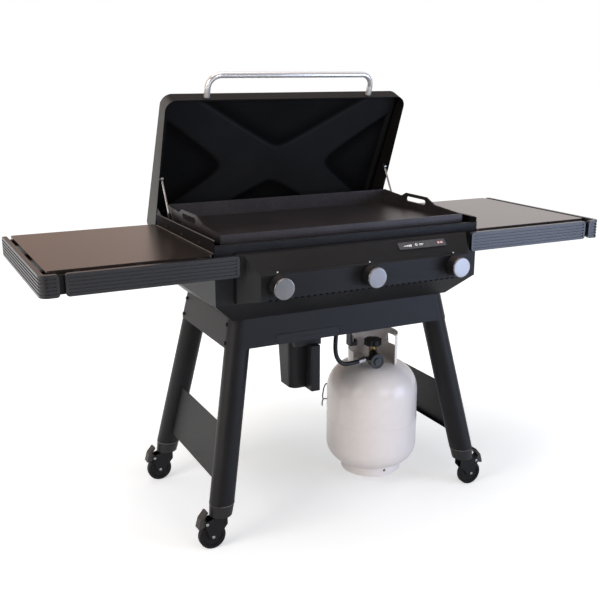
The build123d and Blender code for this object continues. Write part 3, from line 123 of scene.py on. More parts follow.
def soft_lamp(name, place, size, watts, colour):
    """A square lamp that looks at the middle of the griddle."""
    data = bpy.data.lights.new(name, "AREA")
    data.size = size
    data.energy = watts
    data.color = colour
    lamp = bpy.data.objects.new(name, data)
    lamp.location = place
    lamp.rotation_euler = (CENTRE - Vector(place)).to_track_quat("-Z", "Y").to_euler()
    scene.collection.objects.link(lamp)


LAMPS = (
    ("lamp_top", (-0.4, 0.2, 3.6), 2.6, 28, (1.0, 0.97, 0.94)),
    ("lamp_left", (-3.2, -0.9, 1.7), 1.8, 54, (1.0, 0.95, 0.90)),
    ("lamp_front", (0.2, -3.8, 1.7), 1.4, 22, (0.94, 0.96, 1.0)),
    ("lamp_right", (2.7, -3.0, 0.95), 1.9, 58, (0.62, 0.73, 1.0)),
)
for lamp in LAMPS:
    soft_lamp(*lamp)
print("lamps:", len(bpy.data.lights))

# %% Shader helpers


def smooth_step(tree, value, start, stop, low, high):
    """A smooth step of a value: low before start, high after stop."""
    step = tree.nodes.new("ShaderNodeMapRange")
    step.interpolation_type = "SMOOTHSTEP"
    for name, number in zip(("From Min", "From Max", "To Min", "To Max"), (start, stop, low, high)):
        step.inputs[name].default_value = number
    tree.links.new(value, step.inputs["Value"])
    return step.outputs["Result"]


def calculate(tree, operation, first, second):
    """One sum of two values in the shader."""
    node = tree.nodes.new("ShaderNodeMath")
    node.operation = operation
    for value, socket in zip((first, second), node.inputs):
        if isinstance(value, float):
            socket.default_value = value
        else:
            tree.links.new(value, socket)
    return node.outputs[0]


def mirror_ray(tree, rays):
    """1 for mirror and clear rays."""
    glossy, clear = rays.outputs["Is Glossy Ray"], rays.outputs["Is Transmission Ray"]
    return calculate(tree, "MAXIMUM", glossy, clear)


def split_axes(tree, output):
    """X, Y and Z of a texture coordinate."""
    coords = tree.nodes.new("ShaderNodeTexCoord")
    axes = tree.nodes.new("ShaderNodeSeparateXYZ")
    tree.links.new(coords.outputs[output], axes.inputs["Vector"])
    return axes.outputs


# %% World
AMBIENT = 0.30
ROOM = 0.05
CEILING = 0.70
WARM_WHITE = (0.60, 0.445, 0.375, 1)
COOL_WHITE = (1, 0.95, 0.94, 1)
WARM_TO_COOL = (0.15, 0.62)
ROOM_TO_BACKDROP = (-0.45, 0.15)
WALL_TO_CEILING = (0.35, 0.80)

world = bpy.data.worlds.new("studio")
scene.world = world
world.use_nodes = True
tree = world.node_tree
direction = split_axes(tree, "Generated")
rays = tree.nodes.new("ShaderNodeLightPath")
tone = tree.nodes.new("ShaderNodeValToRGB")
tone.color_ramp.elements[0].color = WARM_WHITE
tone.color_ramp.elements[1].color = COOL_WHITE
tree.links.new(smooth_step(tree, direction["X"], *WARM_TO_COOL, 0.0, 1.0), tone.inputs["Fac"])
in_mirror = tree.nodes.new("ShaderNodeBackground")
tree.links.new(tone.outputs["Color"], in_mirror.inputs["Color"])
walls = smooth_step(tree, direction["Y"], *ROOM_TO_BACKDROP, ROOM, 1.0)
ceiling = smooth_step(tree, direction["Z"], *WALL_TO_CEILING, 0.0, CEILING)
tree.links.new(calculate(tree, "MAXIMUM", walls, ceiling), in_mirror.inputs["Strength"])
plain = tree.nodes["Background"]
plain.inputs["Color"].default_value = (1, 1, 1, 1)
plain_level = smooth_step(tree, rays.outputs["Is Camera Ray"], 0.0, 1.0, AMBIENT, 1.0)
tree.links.new(plain_level, plain.inputs["Strength"])
either = tree.nodes.new("ShaderNodeMixShader")
tree.links.new(mirror_ray(tree, rays), either.inputs["Fac"])
tree.links.new(plain.outputs[0], either.inputs[1])
tree.links.new(in_mirror.outputs[0], either.inputs[2])
tree.links.new(either.outputs[0], tree.nodes["World Output"].inputs["Surface"])
print("world:", len(tree.nodes), "nodes")

# %% Floor
FLOOR_HALF = 40.0
FLOOR_GLOW = 0.76
NEAR_GLOW = 0.42
NEAR_TO_FAR = (0.2, 1.7)
FRONT_TO_BEHIND = (-0.5, 0.8)
FLOOR_TONE = (0.92, 0.915, 0.91, 1)

floor_mesh = bpy.data.meshes.new("floor")
corners = np.array([(-1, -1, 0), (1, -1, 0), (1, 1, 0), (-1, 1, 0)])
floor_mesh.from_pydata((corners * FLOOR_HALF).tolist(), [], [(0, 1, 2, 3)])
floor = bpy.data.objects.new("floor", floor_mesh)
scene.collection.objects.link(floor)
floor_finish = bpy.data.materials.new("pale_floor")
floor_finish.use_nodes = True
tree = floor_finish.node_tree
matt = tree.nodes["Principled BSDF"]
matt.inputs["Base Color"].default_value = FLOOR_TONE
matt.inputs["Roughness"].default_value = 1.0
matt.inputs["Specular IOR Level"].default_value = 0.0
matt.inputs["Emission Color"].default_value = (1, 1, 1, 1)
rays = tree.nodes.new("ShaderNodeLightPath")
ground = split_axes(tree, "Object")
behind = smooth_step(tree, ground["Y"], *FRONT_TO_BEHIND, 0.0, 1.0)
squares = [calculate(tree, "MULTIPLY", ground[axis], ground[axis]) for axis in ("X", "Y")]
away = calculate(tree, "POWER", calculate(tree, "ADD", *squares), 0.5)
level = smooth_step(tree, away, *NEAR_TO_FAR, NEAR_GLOW, FLOOR_GLOW)
mirrored = calculate(tree, "MULTIPLY", mirror_ray(tree, rays), behind)
seen = calculate(tree, "MAXIMUM", rays.outputs["Is Camera Ray"], mirrored)
tree.links.new(calculate(tree, "MULTIPLY", seen, level), matt.inputs["Emission Strength"])
floor_mesh.materials.append(floor_finish)
print("floor glow", NEAR_GLOW, "to", FLOOR_GLOW)

# %% [markdown]
# ## Finishes
# Most of the griddle is sheet steel with a baked powder coat. Close up, a powder coat is a skin
# of tiny bumps, so the shader gets a fine noise as a bump, a slow noise that shifts the colour a
# little from place to place, and a roughness that drifts with it. Bare metal, plastic and
# rubber are the same idea with other numbers. Two finishes change over their piece: painted
# shade darkens the pockets of the lid's liner, and the lid is painted paler where it faces
# sideways, a painted sheen that stands in for a low side light.

# %% A coat: slow colour drift, fine bumps
FINE_SHARE = 0.45
DARK_AT, PALE_AT = 0.36, 0.66
GRAIN_HIGH = 0.0012


def coat(dark, pale, rough, grain, bump, drift=4.0, metal=0.0, gloss=0.0, shine=0.5, haze=0.12):
    """A finish from two noises: a slow one mixes two colours and the roughness, and a fine one
    is a bump. gloss and haze are the weight and the roughness of a clear coat."""
    finish = bpy.data.materials.new("finish")
    finish.use_nodes = True
    tree = finish.node_tree
    shader = tree.nodes["Principled BSDF"]
    shader.inputs["Metallic"].default_value = metal
    shader.inputs["Coat Weight"].default_value = gloss
    shader.inputs["Specular IOR Level"].default_value = shine
    shader.inputs["Coat Roughness"].default_value = haze
    coords = tree.nodes.new("ShaderNodeTexCoord")
    slow = tree.nodes.new("ShaderNodeTexNoise")
    slow.inputs["Scale"].default_value = drift
    slow.inputs["Detail"].default_value = 5.0
    tree.links.new(coords.outputs["Object"], slow.inputs["Vector"])
    fine = tree.nodes.new("ShaderNodeTexNoise")
    fine.inputs["Scale"].default_value = grain
    fine.inputs["Detail"].default_value = 3.0
    tree.links.new(coords.outputs["Object"], fine.inputs["Vector"])
    both = tree.nodes.new("ShaderNodeMix")
    both.inputs["Factor"].default_value = FINE_SHARE
    tree.links.new(slow.outputs["Fac"], both.inputs["A"])
    tree.links.new(fine.outputs["Fac"], both.inputs["B"])
    ramp = tree.nodes.new("ShaderNodeValToRGB")
    ramp.color_ramp.elements[0].position = DARK_AT
    ramp.color_ramp.elements[0].color = (*dark, 1)
    ramp.color_ramp.elements[1].position = PALE_AT
    ramp.color_ramp.elements[1].color = (*pale, 1)
    tree.links.new(both.outputs["Result"], ramp.inputs["Fac"])
    tree.links.new(ramp.outputs["Color"], shader.inputs["Base Color"])
    spread = tree.nodes.new("ShaderNodeMapRange")
    spread.inputs["To Min"].default_value = rough[0]
    spread.inputs["To Max"].default_value = rough[1]
    tree.links.new(both.outputs["Result"], spread.inputs["Value"])
    tree.links.new(spread.outputs["Result"], shader.inputs["Roughness"])
    ridge = tree.nodes.new("ShaderNodeBump")
    ridge.inputs["Strength"].default_value = bump
    ridge.inputs["Distance"].default_value = GRAIN_HIGH
    tree.links.new(fine.outputs["Fac"], ridge.inputs["Height"])
    tree.links.new(ridge.outputs["Normal"], shader.inputs["Normal"])
    return finish


finishes = {
    "powder_coat": coat(
        (0.0035, 0.0035, 0.004), (0.010, 0.010, 0.012), (0.34, 0.50), 520, 0.55, shine=0.26
    ),
    "lid_enamel": coat(
        (0.0045, 0.0034, 0.0032), (0.0085, 0.0066, 0.0063), (0.56, 0.70), 620, 0.45, shine=0.18
    ),
    "liner_enamel": coat(
        (0.010, 0.010, 0.0115), (0.018, 0.018, 0.020), (0.50, 0.66), 300, 0.12, shine=0.10
    ),
    "griddle_steel": coat(
        (0.026, 0.021, 0.0215), (0.058, 0.048, 0.050), (0.30, 0.46), 180, 0.12, 6.0,
        metal=0.35, shine=0.4,
    ),
    "bright_steel": coat(
        (0.21, 0.206, 0.208), (0.29, 0.285, 0.287), (0.20, 0.30), 900, 0.05, 9.0, metal=1.0
    ),
    "knob_plastic": coat(
        (0.004, 0.004, 0.0045), (0.011, 0.011, 0.012), (0.30, 0.48), 700, 0.15, shine=0.35
    ),
    "shelf_coat": coat(
        (0.070, 0.052, 0.045), (0.105, 0.080, 0.070), (0.26, 0.34), 900, 0.10,
        metal=0.85, gloss=0.35, haze=0.30,
    ),
    "rail_coat": coat(
        (0.010, 0.010, 0.0125), (0.024, 0.024, 0.029), (0.24, 0.36), 800, 0.18, shine=0.6
    ),
    "hose_rubber": coat(
        (0.005, 0.005, 0.006), (0.012, 0.012, 0.014), (0.34, 0.52), 500, 0.12, shine=0.4
    ),
    "wheel_rubber": coat(
        (0.003, 0.003, 0.004), (0.009, 0.009, 0.010), (0.34, 0.58), 260, 0.2, shine=0.25
    ),
    "collar_plastic": coat(
        (0.012, 0.0115, 0.0125), (0.026, 0.025, 0.026), (0.34, 0.52), 420, 0.2, shine=0.35
    ),
    "pedal_plastic": coat(
        (0.030, 0.026, 0.024), (0.060, 0.054, 0.050), (0.38, 0.56), 380, 0.2, shine=0.4
    ),
    "zinc_steel": coat(
        (0.38, 0.38, 0.39), (0.56, 0.56, 0.57), (0.24, 0.42), 240, 0.08, 9.0, metal=1.0
    ),
    "tank_paint": coat(
        (0.87, 0.80, 0.77), (0.90, 0.838, 0.81), (0.24, 0.34), 46, 0.008, 3.0, gloss=0.30, haze=0.22
    ),
    "valve_brass": coat(
        (0.42, 0.33, 0.16), (0.58, 0.47, 0.25), (0.26, 0.44), 160, 0.08, 8.0, metal=1.0
    ),
    "display_glass": coat(
        (0.055, 0.052, 0.056), (0.080, 0.077, 0.082), (0.22, 0.32), 300, 0.01, gloss=0.2
    ),
    "lamp_lens": coat((0.62, 0.62, 0.62), (0.80, 0.80, 0.80), (0.2, 0.3), 200, 0.02, gloss=0.5),
    "bucket_plastic": coat(
        (0.0035, 0.0035, 0.0045), (0.009, 0.009, 0.011), (0.32, 0.50), 600, 0.3, shine=0.3
    ),
    "polished_steel": coat(
        (0.88, 0.87, 0.87), (0.95, 0.94, 0.94), (0.12, 0.20), 300, 0.01, 7.0, metal=0.6
    ),
    "cap_grey": coat(
        (0.030, 0.033, 0.038), (0.060, 0.066, 0.075), (0.34, 0.50), 420, 0.1, shine=0.4
    ),
    "matt_black": coat(
        (0.002, 0.002, 0.0022), (0.006, 0.006, 0.0065), (0.6, 0.75), 400, 0.3, shine=0.10
    ),
    "painted_edge_highlight": coat((0.14, 0.136, 0.134), (0.24, 0.234, 0.23), (0.28, 0.42), 500, 0.1, metal=0.5),
    "painted_shade_black": coat(
        (0.0008, 0.0008, 0.0009), (0.002, 0.002, 0.002), (0.6, 0.8), 300, 0.1, shine=0.05
    ),
}
for name, finish in finishes.items():
    finish.name = name
print("finishes:", len(finishes))

# %% Colour that changes over a piece
# Painted light in two finishes: the first tint is painted shade in the liner's pockets, the second a painted sheen
# on the lid's sideways faces.
POCKET_SHADE_TINT = (0.10, 0.10, 0.10)
LID_SIDE_SHEEN_TINT = (20, 26, 27)
TOP_TO_SIDE = (0.10, 0.36)


def tint_colour(finish, factor, tint):
    """Tints a finish by a value of its shader: colour (1 + factor (tint - 1))."""
    tree = finish.node_tree
    colour = tree.nodes["Principled BSDF"].inputs["Base Color"]
    before = colour.links[0].from_socket
    change = tree.nodes.new("ShaderNodeVectorMath")
    change.operation = "SCALE"
    change.inputs[0].default_value = [part - 1 for part in tint]
    tree.links.new(factor, change.inputs["Scale"])
    tinted = tree.nodes.new("ShaderNodeVectorMath")
    tinted.operation = "MULTIPLY_ADD"
    for value, socket in zip((before, change.outputs["Vector"], before), tinted.inputs):
        tree.links.new(value, socket)
    tree.links.new(tinted.outputs["Vector"], colour)


# Painted shade: the liner's colour darkens where its pressed attribute is high, in the pockets and most at their
# edges.
tree = finishes["liner_enamel"].node_tree
pressed_in = tree.nodes.new("ShaderNodeAttribute")
pressed_in.attribute_name = "pressed"
painted_pocket_shade = smooth_step(tree, pressed_in.outputs["Fac"], 0.0, 1.0, 0.0, 1.0)
tint_colour(finishes["liner_enamel"], painted_pocket_shade, POCKET_SHADE_TINT)
# Painted sheen: the lid's colour turns paler where its faces point outward along X, standing in for a low side
# light.
tree = finishes["lid_enamel"].node_tree
place_x, facing_x = (split_axes(tree, output)["X"] for output in ("Object", "Normal"))
outward = calculate(tree, "MULTIPLY", place_x, facing_x)
painted_side_sheen = smooth_step(tree, outward, *TOP_TO_SIDE, 0.0, 1.0)
tint_colour(finishes["lid_enamel"], painted_side_sheen, LID_SIDE_SHEEN_TINT)
print("tints: soot", POCKET_SHADE_TINT, "lid sides", LID_SIDE_SHEEN_TINT)

# %% Each solid takes the finish of its slot
EDGE = 0.0005
EDGE_ANGLE = 50
WELD_WITHIN = 2e-6
slot_of = {part["node"]: part["material_slot"] for part in frame["record"]["subparts"]}


def soften(node, width):
    """Welds a solid's loose triangles and rounds its sharp edges a little, as a folded or cast
    edge is."""
    weld = nodes[node].modifiers.new("weld", "WELD")
    weld.merge_threshold = WELD_WITHIN
    bevel = nodes[node].modifiers.new("edge", "BEVEL")
    bevel.width = width
    bevel.segments = 2
    bevel.limit_method = "ANGLE"
    bevel.angle_limit = np.radians(EDGE_ANGLE)
    bevel.harden_normals = True


for node, piece in nodes.items():
    piece.data.materials.clear()
    piece.data.materials.append(finishes[slot_of[node]])
for node, other in (("frame_bolts", "powder_coat"), ("lid_handle", "polished_steel")):
    nodes[node].data.materials[0] = finishes[other]
for node in ("shelf_left", "shelf_right", "griddle_plate", "control_fascia", "grease_bucket"):
    soften(node, EDGE)
print("solids with a finish:", len(nodes))

# %% [markdown]
# ## Gas hose
# The hose runs from the regulator's metal ferrule in a low bend and up to the pipe under the
# box. It is a smooth curve led by listed points, with the hose's round section as its
# bevel. The points count from the middle of the cart. In the frame the whole griddle with its
# open lid is centred, which puts the cart a little to the front, so the points are shifted too.

# %% Gas hose
HOSE_DIAMETER = 0.0144
DEPTH_SHIFT = -0.011737
HOSE_ROUTE = [
    (0.076, -0.170, 0.483),
    (0.036, -0.1705, 0.479),
    (0.010, -0.171, 0.488),
    (-0.006, -0.1715, 0.510),
    (-0.011, -0.171, 0.540),
    (-0.008, -0.170, 0.585),
    (0.002, -0.168, 0.632),
    (0.002, -0.168, 0.672),
]
hose_curve = bpy.data.curves.new("gas_hose_line", "CURVE")
hose_curve.dimensions = "3D"
hose_curve.bevel_depth = HOSE_DIAMETER / 2
hose_curve.bevel_resolution = 5
hose_curve.use_fill_caps = True
spline = hose_curve.splines.new("NURBS")
spline.points.add(len(HOSE_ROUTE) - 1)
route = np.array(HOSE_ROUTE) + (0, DEPTH_SHIFT, 0)
spline.points.foreach_set("co", np.c_[route, np.ones(len(route))].ravel())
spline.order_u = 3
spline.use_endpoint_u = True
spline.resolution_u = 12
hose = bpy.data.objects.new("gas_hose_line", hose_curve)
scene.collection.objects.link(hose)
hose_curve.materials.append(finishes["hose_rubber"])
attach(hose, "cart")
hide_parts("gas_hose")
print("hose points:", len(HOSE_ROUTE))

# %% [markdown]
# ## Turned and drawn pieces
# Wheels, rivets, the gas cylinder, the regulator's cap and the hose's ferrule are round, so each
# is a profile of radius and height carried round an axis. Wires and edge beads are a ring
# carried along a path. Both give a grid of points, and neighbours in the grid become the faces
# of the mesh. The grids are worked out as whole arrays, which is quick and keeps the formula in
# one line.

# %% From a grid of points to a piece


def quads(rows, columns, around, along):
    """Faces of a grid: each point with its right, lower right and lower neighbour. around joins
    the last column to the first, along joins the last row to the first."""
    i, j = np.meshgrid(
        np.arange(rows if along else rows - 1),
        np.arange(columns if around else columns - 1),
        indexing="ij",
    )
    below, right = (i + 1) % rows, (j + 1) % columns
    faces = (i * columns + j, i * columns + right, below * columns + right, below * columns + j)
    return np.stack(faces, axis=-1).reshape(-1, 4)


def make_piece(name, grids, body, slot, finish=None, around=False, along=False, crease=35):
    """One mesh from several grids of points, with shared points merged and faces turned out."""
    points, faces, count = [], [], 0
    for grid in grids:
        rows, columns = grid.shape[:2]
        faces.append(quads(rows, columns, around, along) + count)
        points.append(grid.reshape(-1, 3))
        count += rows * columns
    mesh = bpy.data.meshes.new(name)
    mesh.from_pydata(np.concatenate(points).tolist(), [], np.concatenate(faces).tolist())
    work = bmesh.new()
    work.from_mesh(mesh)
    bmesh.ops.remove_doubles(work, verts=work.verts, dist=1e-6)
    bmesh.ops.recalc_face_normals(work, faces=work.faces)
    work.to_mesh(mesh)
    work.free()
    mesh.polygons.foreach_set("use_smooth", np.ones(len(mesh.polygons), dtype=bool))
    mesh.set_sharp_from_angle(angle=np.radians(crease))
    mesh.materials.append(finish or finishes[slot])
    piece = bpy.data.objects.new(name, mesh)
    scene.collection.objects.link(piece)
    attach(piece, body)
    print(name, len(mesh.polygons), "faces")
    return piece


def unit(vector):
    """The vector at length 1."""
    vector = np.asarray(vector, dtype=float)
    return vector / np.linalg.norm(vector)


def turned(profile, centre, axis, steps=48):
    """Profile points (r, h) carried round: centre + r (cos t side + sin t other) + h axis."""
    axis = unit(axis)
    side = unit(np.cross(axis, (0, 0, 1) if abs(axis[2]) < 0.9 else (1, 0, 0)))
    angle = np.linspace(0, 2 * np.pi, steps, endpoint=False)[:, None]
    ring = np.cos(angle) * side + np.sin(angle) * np.cross(axis, side)
    radius, height = np.asarray(profile, dtype=float).T[..., None, None]
    return np.asarray(centre) + radius * ring + height * axis


def arc(centre_r, centre_h, radius, start, stop, steps=8):
    """Profile points on a round corner, from one angle in degrees to another."""
    angle = np.radians(np.linspace(start, stop, steps))
    return np.c_[centre_r + radius * np.cos(angle), centre_h + radius * np.sin(angle)]


def drawn(path, radius, steps=12):
    """A ring carried along a path: p + radius (cos t side + sin t other), with side at right
    angles to the path's direction."""
    path = np.asarray(path, dtype=float)
    ahead = np.gradient(path, axis=0)
    ahead /= np.linalg.norm(ahead, axis=1, keepdims=True)
    side = np.cross(ahead, (0.31, 0.22, 0.92))
    side /= np.linalg.norm(side, axis=1, keepdims=True)
    angle = np.linspace(0, 2 * np.pi, steps, endpoint=False)[None, :, None]
    ring = np.cos(angle) * side[:, None] + np.sin(angle) * np.cross(ahead, side)[:, None]
    return path[:, None] + radius * ring


# %% [markdown]
# ## Gas cylinder
# A gas cylinder is two deep-drawn steel cups joined by one weld all round, standing on a
# rolled foot ring. One profile gives both cups: straight sides, ends rounded with a large radius,
# and a low bead where the weld is. The foot ring is a second profile with a rolled lower edge
# and one drain hole, shown by a small dark dished disc that is painted shade of the hole.

# %% Gas cylinder
WELD_Z = 0.250
WELD_PROUD = 0.0011
WELD_WIDTH = 0.0035
TOP_ROUND = 0.100
LOW_ROUND = 0.072
CYLINDER_TOP = 0.446
CYLINDER_LOW = 0.086
FOOT_RADIUS = 0.101
FOOT_WALL = 0.003
FOOT_TOP = 0.0975
FOOT_ROLL_R = 0.0028

tank_low, tank_high = (np.array(corner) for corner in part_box("tank_shell"))
tank_middle = (tank_low + tank_high) / 2
tank_axis = np.array([tank_middle[0], tank_middle[1], 0.0])
tank_radius = (tank_high[0] - tank_low[0]) / 2
straight = np.linspace(CYLINDER_LOW + LOW_ROUND, CYLINDER_TOP - TOP_ROUND, 90)[1:-1]
outline = np.concatenate(
    [
        [(0, CYLINDER_LOW)],
        arc(tank_radius - LOW_ROUND, CYLINDER_LOW + LOW_ROUND, LOW_ROUND, -90, 0, 30),
        np.c_[np.full(len(straight), tank_radius), straight],
        arc(tank_radius - TOP_ROUND, CYLINDER_TOP - TOP_ROUND, TOP_ROUND, 0, 90, 40),
        [(0, CYLINDER_TOP)],
    ]
)
outline[:, 0] += WELD_PROUD * np.exp(-(((outline[:, 1] - WELD_Z) / WELD_WIDTH) ** 2))
outline[[0, -1], 0] = 0
upright = (0, 0, 1)
body = turned(outline, tank_axis, upright, 96)
cylinder = make_piece("gas_cylinder", [body], "cart", "tank_paint", around=True)
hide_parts("tank_shell")
foot_low = tank_low[2]
roll = arc(FOOT_RADIUS - FOOT_WALL / 2, foot_low + FOOT_ROLL_R, FOOT_ROLL_R, -200, 20, 14)
ring = np.concatenate([[(FOOT_RADIUS - FOOT_WALL, FOOT_TOP)], roll, [(FOOT_RADIUS, FOOT_TOP)]])
foot = turned(ring, tank_axis, upright, 96)
make_piece("cylinder_foot", [foot], "cart", "tank_paint", around=True, along=True)

# %% Painted shade of the foot ring's drain hole
DRAIN_RADIUS = 0.0048
DRAIN_TURN = -93.0
DRAIN_Z = 0.078
DRAIN_RIM = 0.0007
DRAIN_EDGE = 0.0010
DRAIN_SUNK = 0.0002
out = np.array([np.cos(np.radians(DRAIN_TURN)), np.sin(np.radians(DRAIN_TURN)), 0])
drain_at = tank_axis + (FOOT_RADIUS - DRAIN_SUNK) * out + (0, 0, DRAIN_Z)
dish = [
    (DRAIN_RADIUS, 0),
    (DRAIN_RADIUS, DRAIN_RIM),
    (DRAIN_RADIUS * 0.85, DRAIN_EDGE),
    (0, DRAIN_RIM),
]
# The dark dished disc is painted shade of the drain hole.
make_piece("foot_drain", [turned(dish, drain_at, out, 20)], "cart", "knob_plastic", around=True)

# %% [markdown]
# ## Casters
# The wheels are moulded: a rounded tread, a thinner web and a hub. The profile is a closed loop
# with the axle hole in the middle. Bright rivet heads close the axle and the pedal's pin on both
# sides of each fork.

# %% Wheels and rivets
TREAD_ROUND = 0.006
WEB_DEEP = 0.0030
WEB_OUT = 0.0285
WEB_IN = 0.0150
WEB_SLOPE = 0.002
HUB_SUNK = 0.0006
AXLE_RADIUS = 0.00405
RIVET_RADIUS = 0.0050
RIVET_HIGH = 0.0022
FORK_OUT = 0.005
CORNERS = ("front_left", "front_right", "rear_left", "rear_right")


def wheel_profile(radius, half):
    """Half of a wheel's section, from the axle hole out to the tread, and the same mirrored."""
    side = np.concatenate(
        [
            [(AXLE_RADIUS, half - HUB_SUNK), (WEB_IN - WEB_SLOPE, half - HUB_SUNK)],
            [(WEB_IN, half - WEB_DEEP), (WEB_OUT, half - WEB_DEEP)],
            [(WEB_OUT + WEB_SLOPE, half)],
            arc(radius - TREAD_ROUND, half - TREAD_ROUND, TREAD_ROUND, 90, 0, 8),
        ]
    )
    return np.concatenate([side, side[::-1] * (1, -1)])


def rivet_head(centre, axis, radius=RIVET_RADIUS, height=RIVET_HIGH):
    """A low domed head: a quarter of an ellipse carried round its axis."""
    angle = np.linspace(0, np.pi / 2, 6)
    return turned(np.c_[radius * np.cos(angle), height * np.sin(angle)], centre, axis, 14)


joints = {joint["name"]: joint for joint in frame["joints"]}
for corner in CORNERS:
    wheel_low, wheel_high = (np.array(c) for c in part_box("caster_wheel_" + corner))
    hub = (wheel_low + wheel_high) / 2
    half = (wheel_high[1] - wheel_low[1]) / 2
    profile = wheel_profile((wheel_high[2] - wheel_low[2]) / 2, half)
    wheel = make_piece(
        "wheel_" + corner,
        [turned(profile, hub, (0, 1, 0), 56)],
        "wheel_" + corner,
        "wheel_rubber",
        around=True,
        along=True,
    )
    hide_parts("caster_wheel_" + corner)
    pin = np.array(joints[f"pedal_{corner}_press"]["pos_m"])
    heads = []
    for side in (-1, 1):
        inset = hub[1] + side * (half + FORK_OUT)
        heads += [rivet_head((at[0], inset, at[2]), (0, side, 0)) for at in (hub, pin)]
    make_piece("rivets_" + corner, heads, "caster_" + corner, "zinc_steel", around=True)

# %% [markdown]
# ## Lid liner
# Inside the lid is a second sheet with four pressed pockets that leave an X standing, which
# keeps the sheet from drumming. Painted shade darkens the pockets, most of all along their
# edges. The sheet is a height over the lid's plan: a pocket is where the distance to its slanted
# edges is positive, and the step between X and pocket is a smooth ramp as a press makes it. The
# sheet is worked out with the lid shut and turned open about the hinge.

# %% Lid liner
LID_EDGE_MARGIN = 0.009
LID_CORNER = 0.029
LINER_FROM_TOP = 0.015
POCKET_DEEP = 0.0058
POCKET_RAMP = 0.016
POCKET_MIDDLE = 0.013
END_APEX, END_RISE, END_ROUND = 0.158, 0.73, 0.0340
SIDE_APEX, SIDE_RUN, SIDE_ROUND = 0.052, 1.59, 0.0240
LID_FRONT_RISE, LID_BACK_RISE = 0.058, 0.100
RIM_FRONT_Y, RIM_BACK_Y, RIM_Z = -0.262737, 0.253263, 0.9345
FLAT_EDGE, FLAT_EDGE_RAMP = 0.016, 0.012
SHADE_INSIDE, SHADE_SPREAD = 0.55, 0.035
SHEET_THICK = 0.0012
hinge = joints["lid_hinge"]
hinge_at = np.array(hinge["pos_m"])
open_angle = np.radians(hinge["range_deg"][0])


def turn_open(points):
    """Points of the shut lid turned about the hinge line to where the lid rests open."""
    rel = points - hinge_at
    c, s = np.cos(open_angle), np.sin(open_angle)
    y = rel[..., 1] * c - rel[..., 2] * s
    z = rel[..., 1] * s + rel[..., 2] * c
    return np.stack([rel[..., 0], y, z], axis=-1) + hinge_at


def ramp(distance, width):
    """0 below -width/2, 1 above width/2, and a smooth step between."""
    t = np.clip(distance / width + 0.5, 0, 1)
    return t * t * (3 - 2 * t)


shell_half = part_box("lid_shell")[1][0]
half_x = shell_half - LID_EDGE_MARGIN
mid_y = (RIM_FRONT_Y + RIM_BACK_Y) / 2
half_y = (RIM_BACK_Y - RIM_FRONT_Y) / 2 - LID_EDGE_MARGIN
across = np.linspace(-1, 1, 241)
down = np.sin(np.linspace(-np.pi / 2, np.pi / 2, 161))
u, v = np.meshgrid(across, down, indexing="xy")
past = np.clip(np.abs(v) * half_y - (half_y - LID_CORNER), 0, LID_CORNER)
x = u * (half_x - LID_CORNER + np.sqrt(LID_CORNER**2 - past**2))
y = mid_y + v * half_y
from_middle = y - mid_y - POCKET_MIDDLE
end_pocket = END_RISE * (np.abs(x) - END_APEX) - np.hypot(from_middle, END_ROUND)
side_pocket = SIDE_RUN * (np.abs(from_middle) - SIDE_APEX) - np.hypot(x, SIDE_ROUND)
inside = np.maximum(end_pocket / np.hypot(1, END_RISE), side_pocket / np.hypot(1, SIDE_RUN))
pressed = ramp(inside, POCKET_RAMP)
edge = np.minimum(half_x - np.abs(x), half_y - np.abs(y - mid_y))
pressed = pressed * ramp(edge - FLAT_EDGE, FLAT_EDGE_RAMP)
back_share = (y - RIM_FRONT_Y) / (RIM_BACK_Y - RIM_FRONT_Y)
rise = LID_FRONT_RISE + (LID_BACK_RISE - LID_FRONT_RISE) * back_share
z = RIM_Z + rise - LINER_FROM_TOP + POCKET_DEEP * pressed
sheet = turn_open(np.stack([x, y, z], axis=-1))
liner = make_piece("pressed_liner", [sheet], "lid", "liner_enamel", crease=60)
# The pressed attribute holds painted shade: strongest just inside each pocket's edge, weaker deeper in, none on
# the X.
shade_attribute = liner.data.attributes.new("pressed", "FLOAT", "POINT")
at_edge = np.exp(-((np.maximum(inside, 0) / SHADE_SPREAD) ** 2))
painted_shade_here = pressed * (SHADE_INSIDE + (1 - SHADE_INSIDE) * at_edge)
shade_attribute.data.foreach_set("value", painted_shade_here.astype(np.float32).ravel())
solid = liner.modifiers.new("sheet", "SOLIDIFY")
solid.thickness = SHEET_THICK
solid.offset = -1
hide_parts("lid_liner")
print("liner pockets cover", round(float(pressed.mean()), 3), "of the sheet")

# %% [markdown]
# ## Screws and small fittings
# Pan-head screws hold the box's side sheets and its lower front. The regulator carries a round
# cap with a ring, the hose ends in a crimped bright ferrule, and a bent wire clip sits on
# the cylinder.

# %% Screws of the box
SCREW_RADIUS = 0.0050
SCREW_HIGH = 0.0024
SIDE_SCREW_Z = 0.919
SIDE_SCREW_Y = (-0.160, -0.010, 0.140)


def screw_head(centre, axis):
    """A pan head with a round recess, in shares of its radius and height."""
    shape = np.array([(1, 0), (0.97, 0.45), (0.8, 0.85), (0.5, 1), (0.4, 1), (0.36, 0.5), (0, 0.5)])
    return turned(shape * (SCREW_RADIUS, SCREW_HIGH), centre, axis, 16)


box_low, box_high = (np.array(corner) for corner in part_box("firebox_walls"))
heads = [
    screw_head((face, y, SIDE_SCREW_Z), (np.sign(face), 0, 0))
    for face in (box_low[0], box_high[0])
    for y in SIDE_SCREW_Y
]
make_piece("side_screws", heads, "cart", "knob_plastic", around=True)

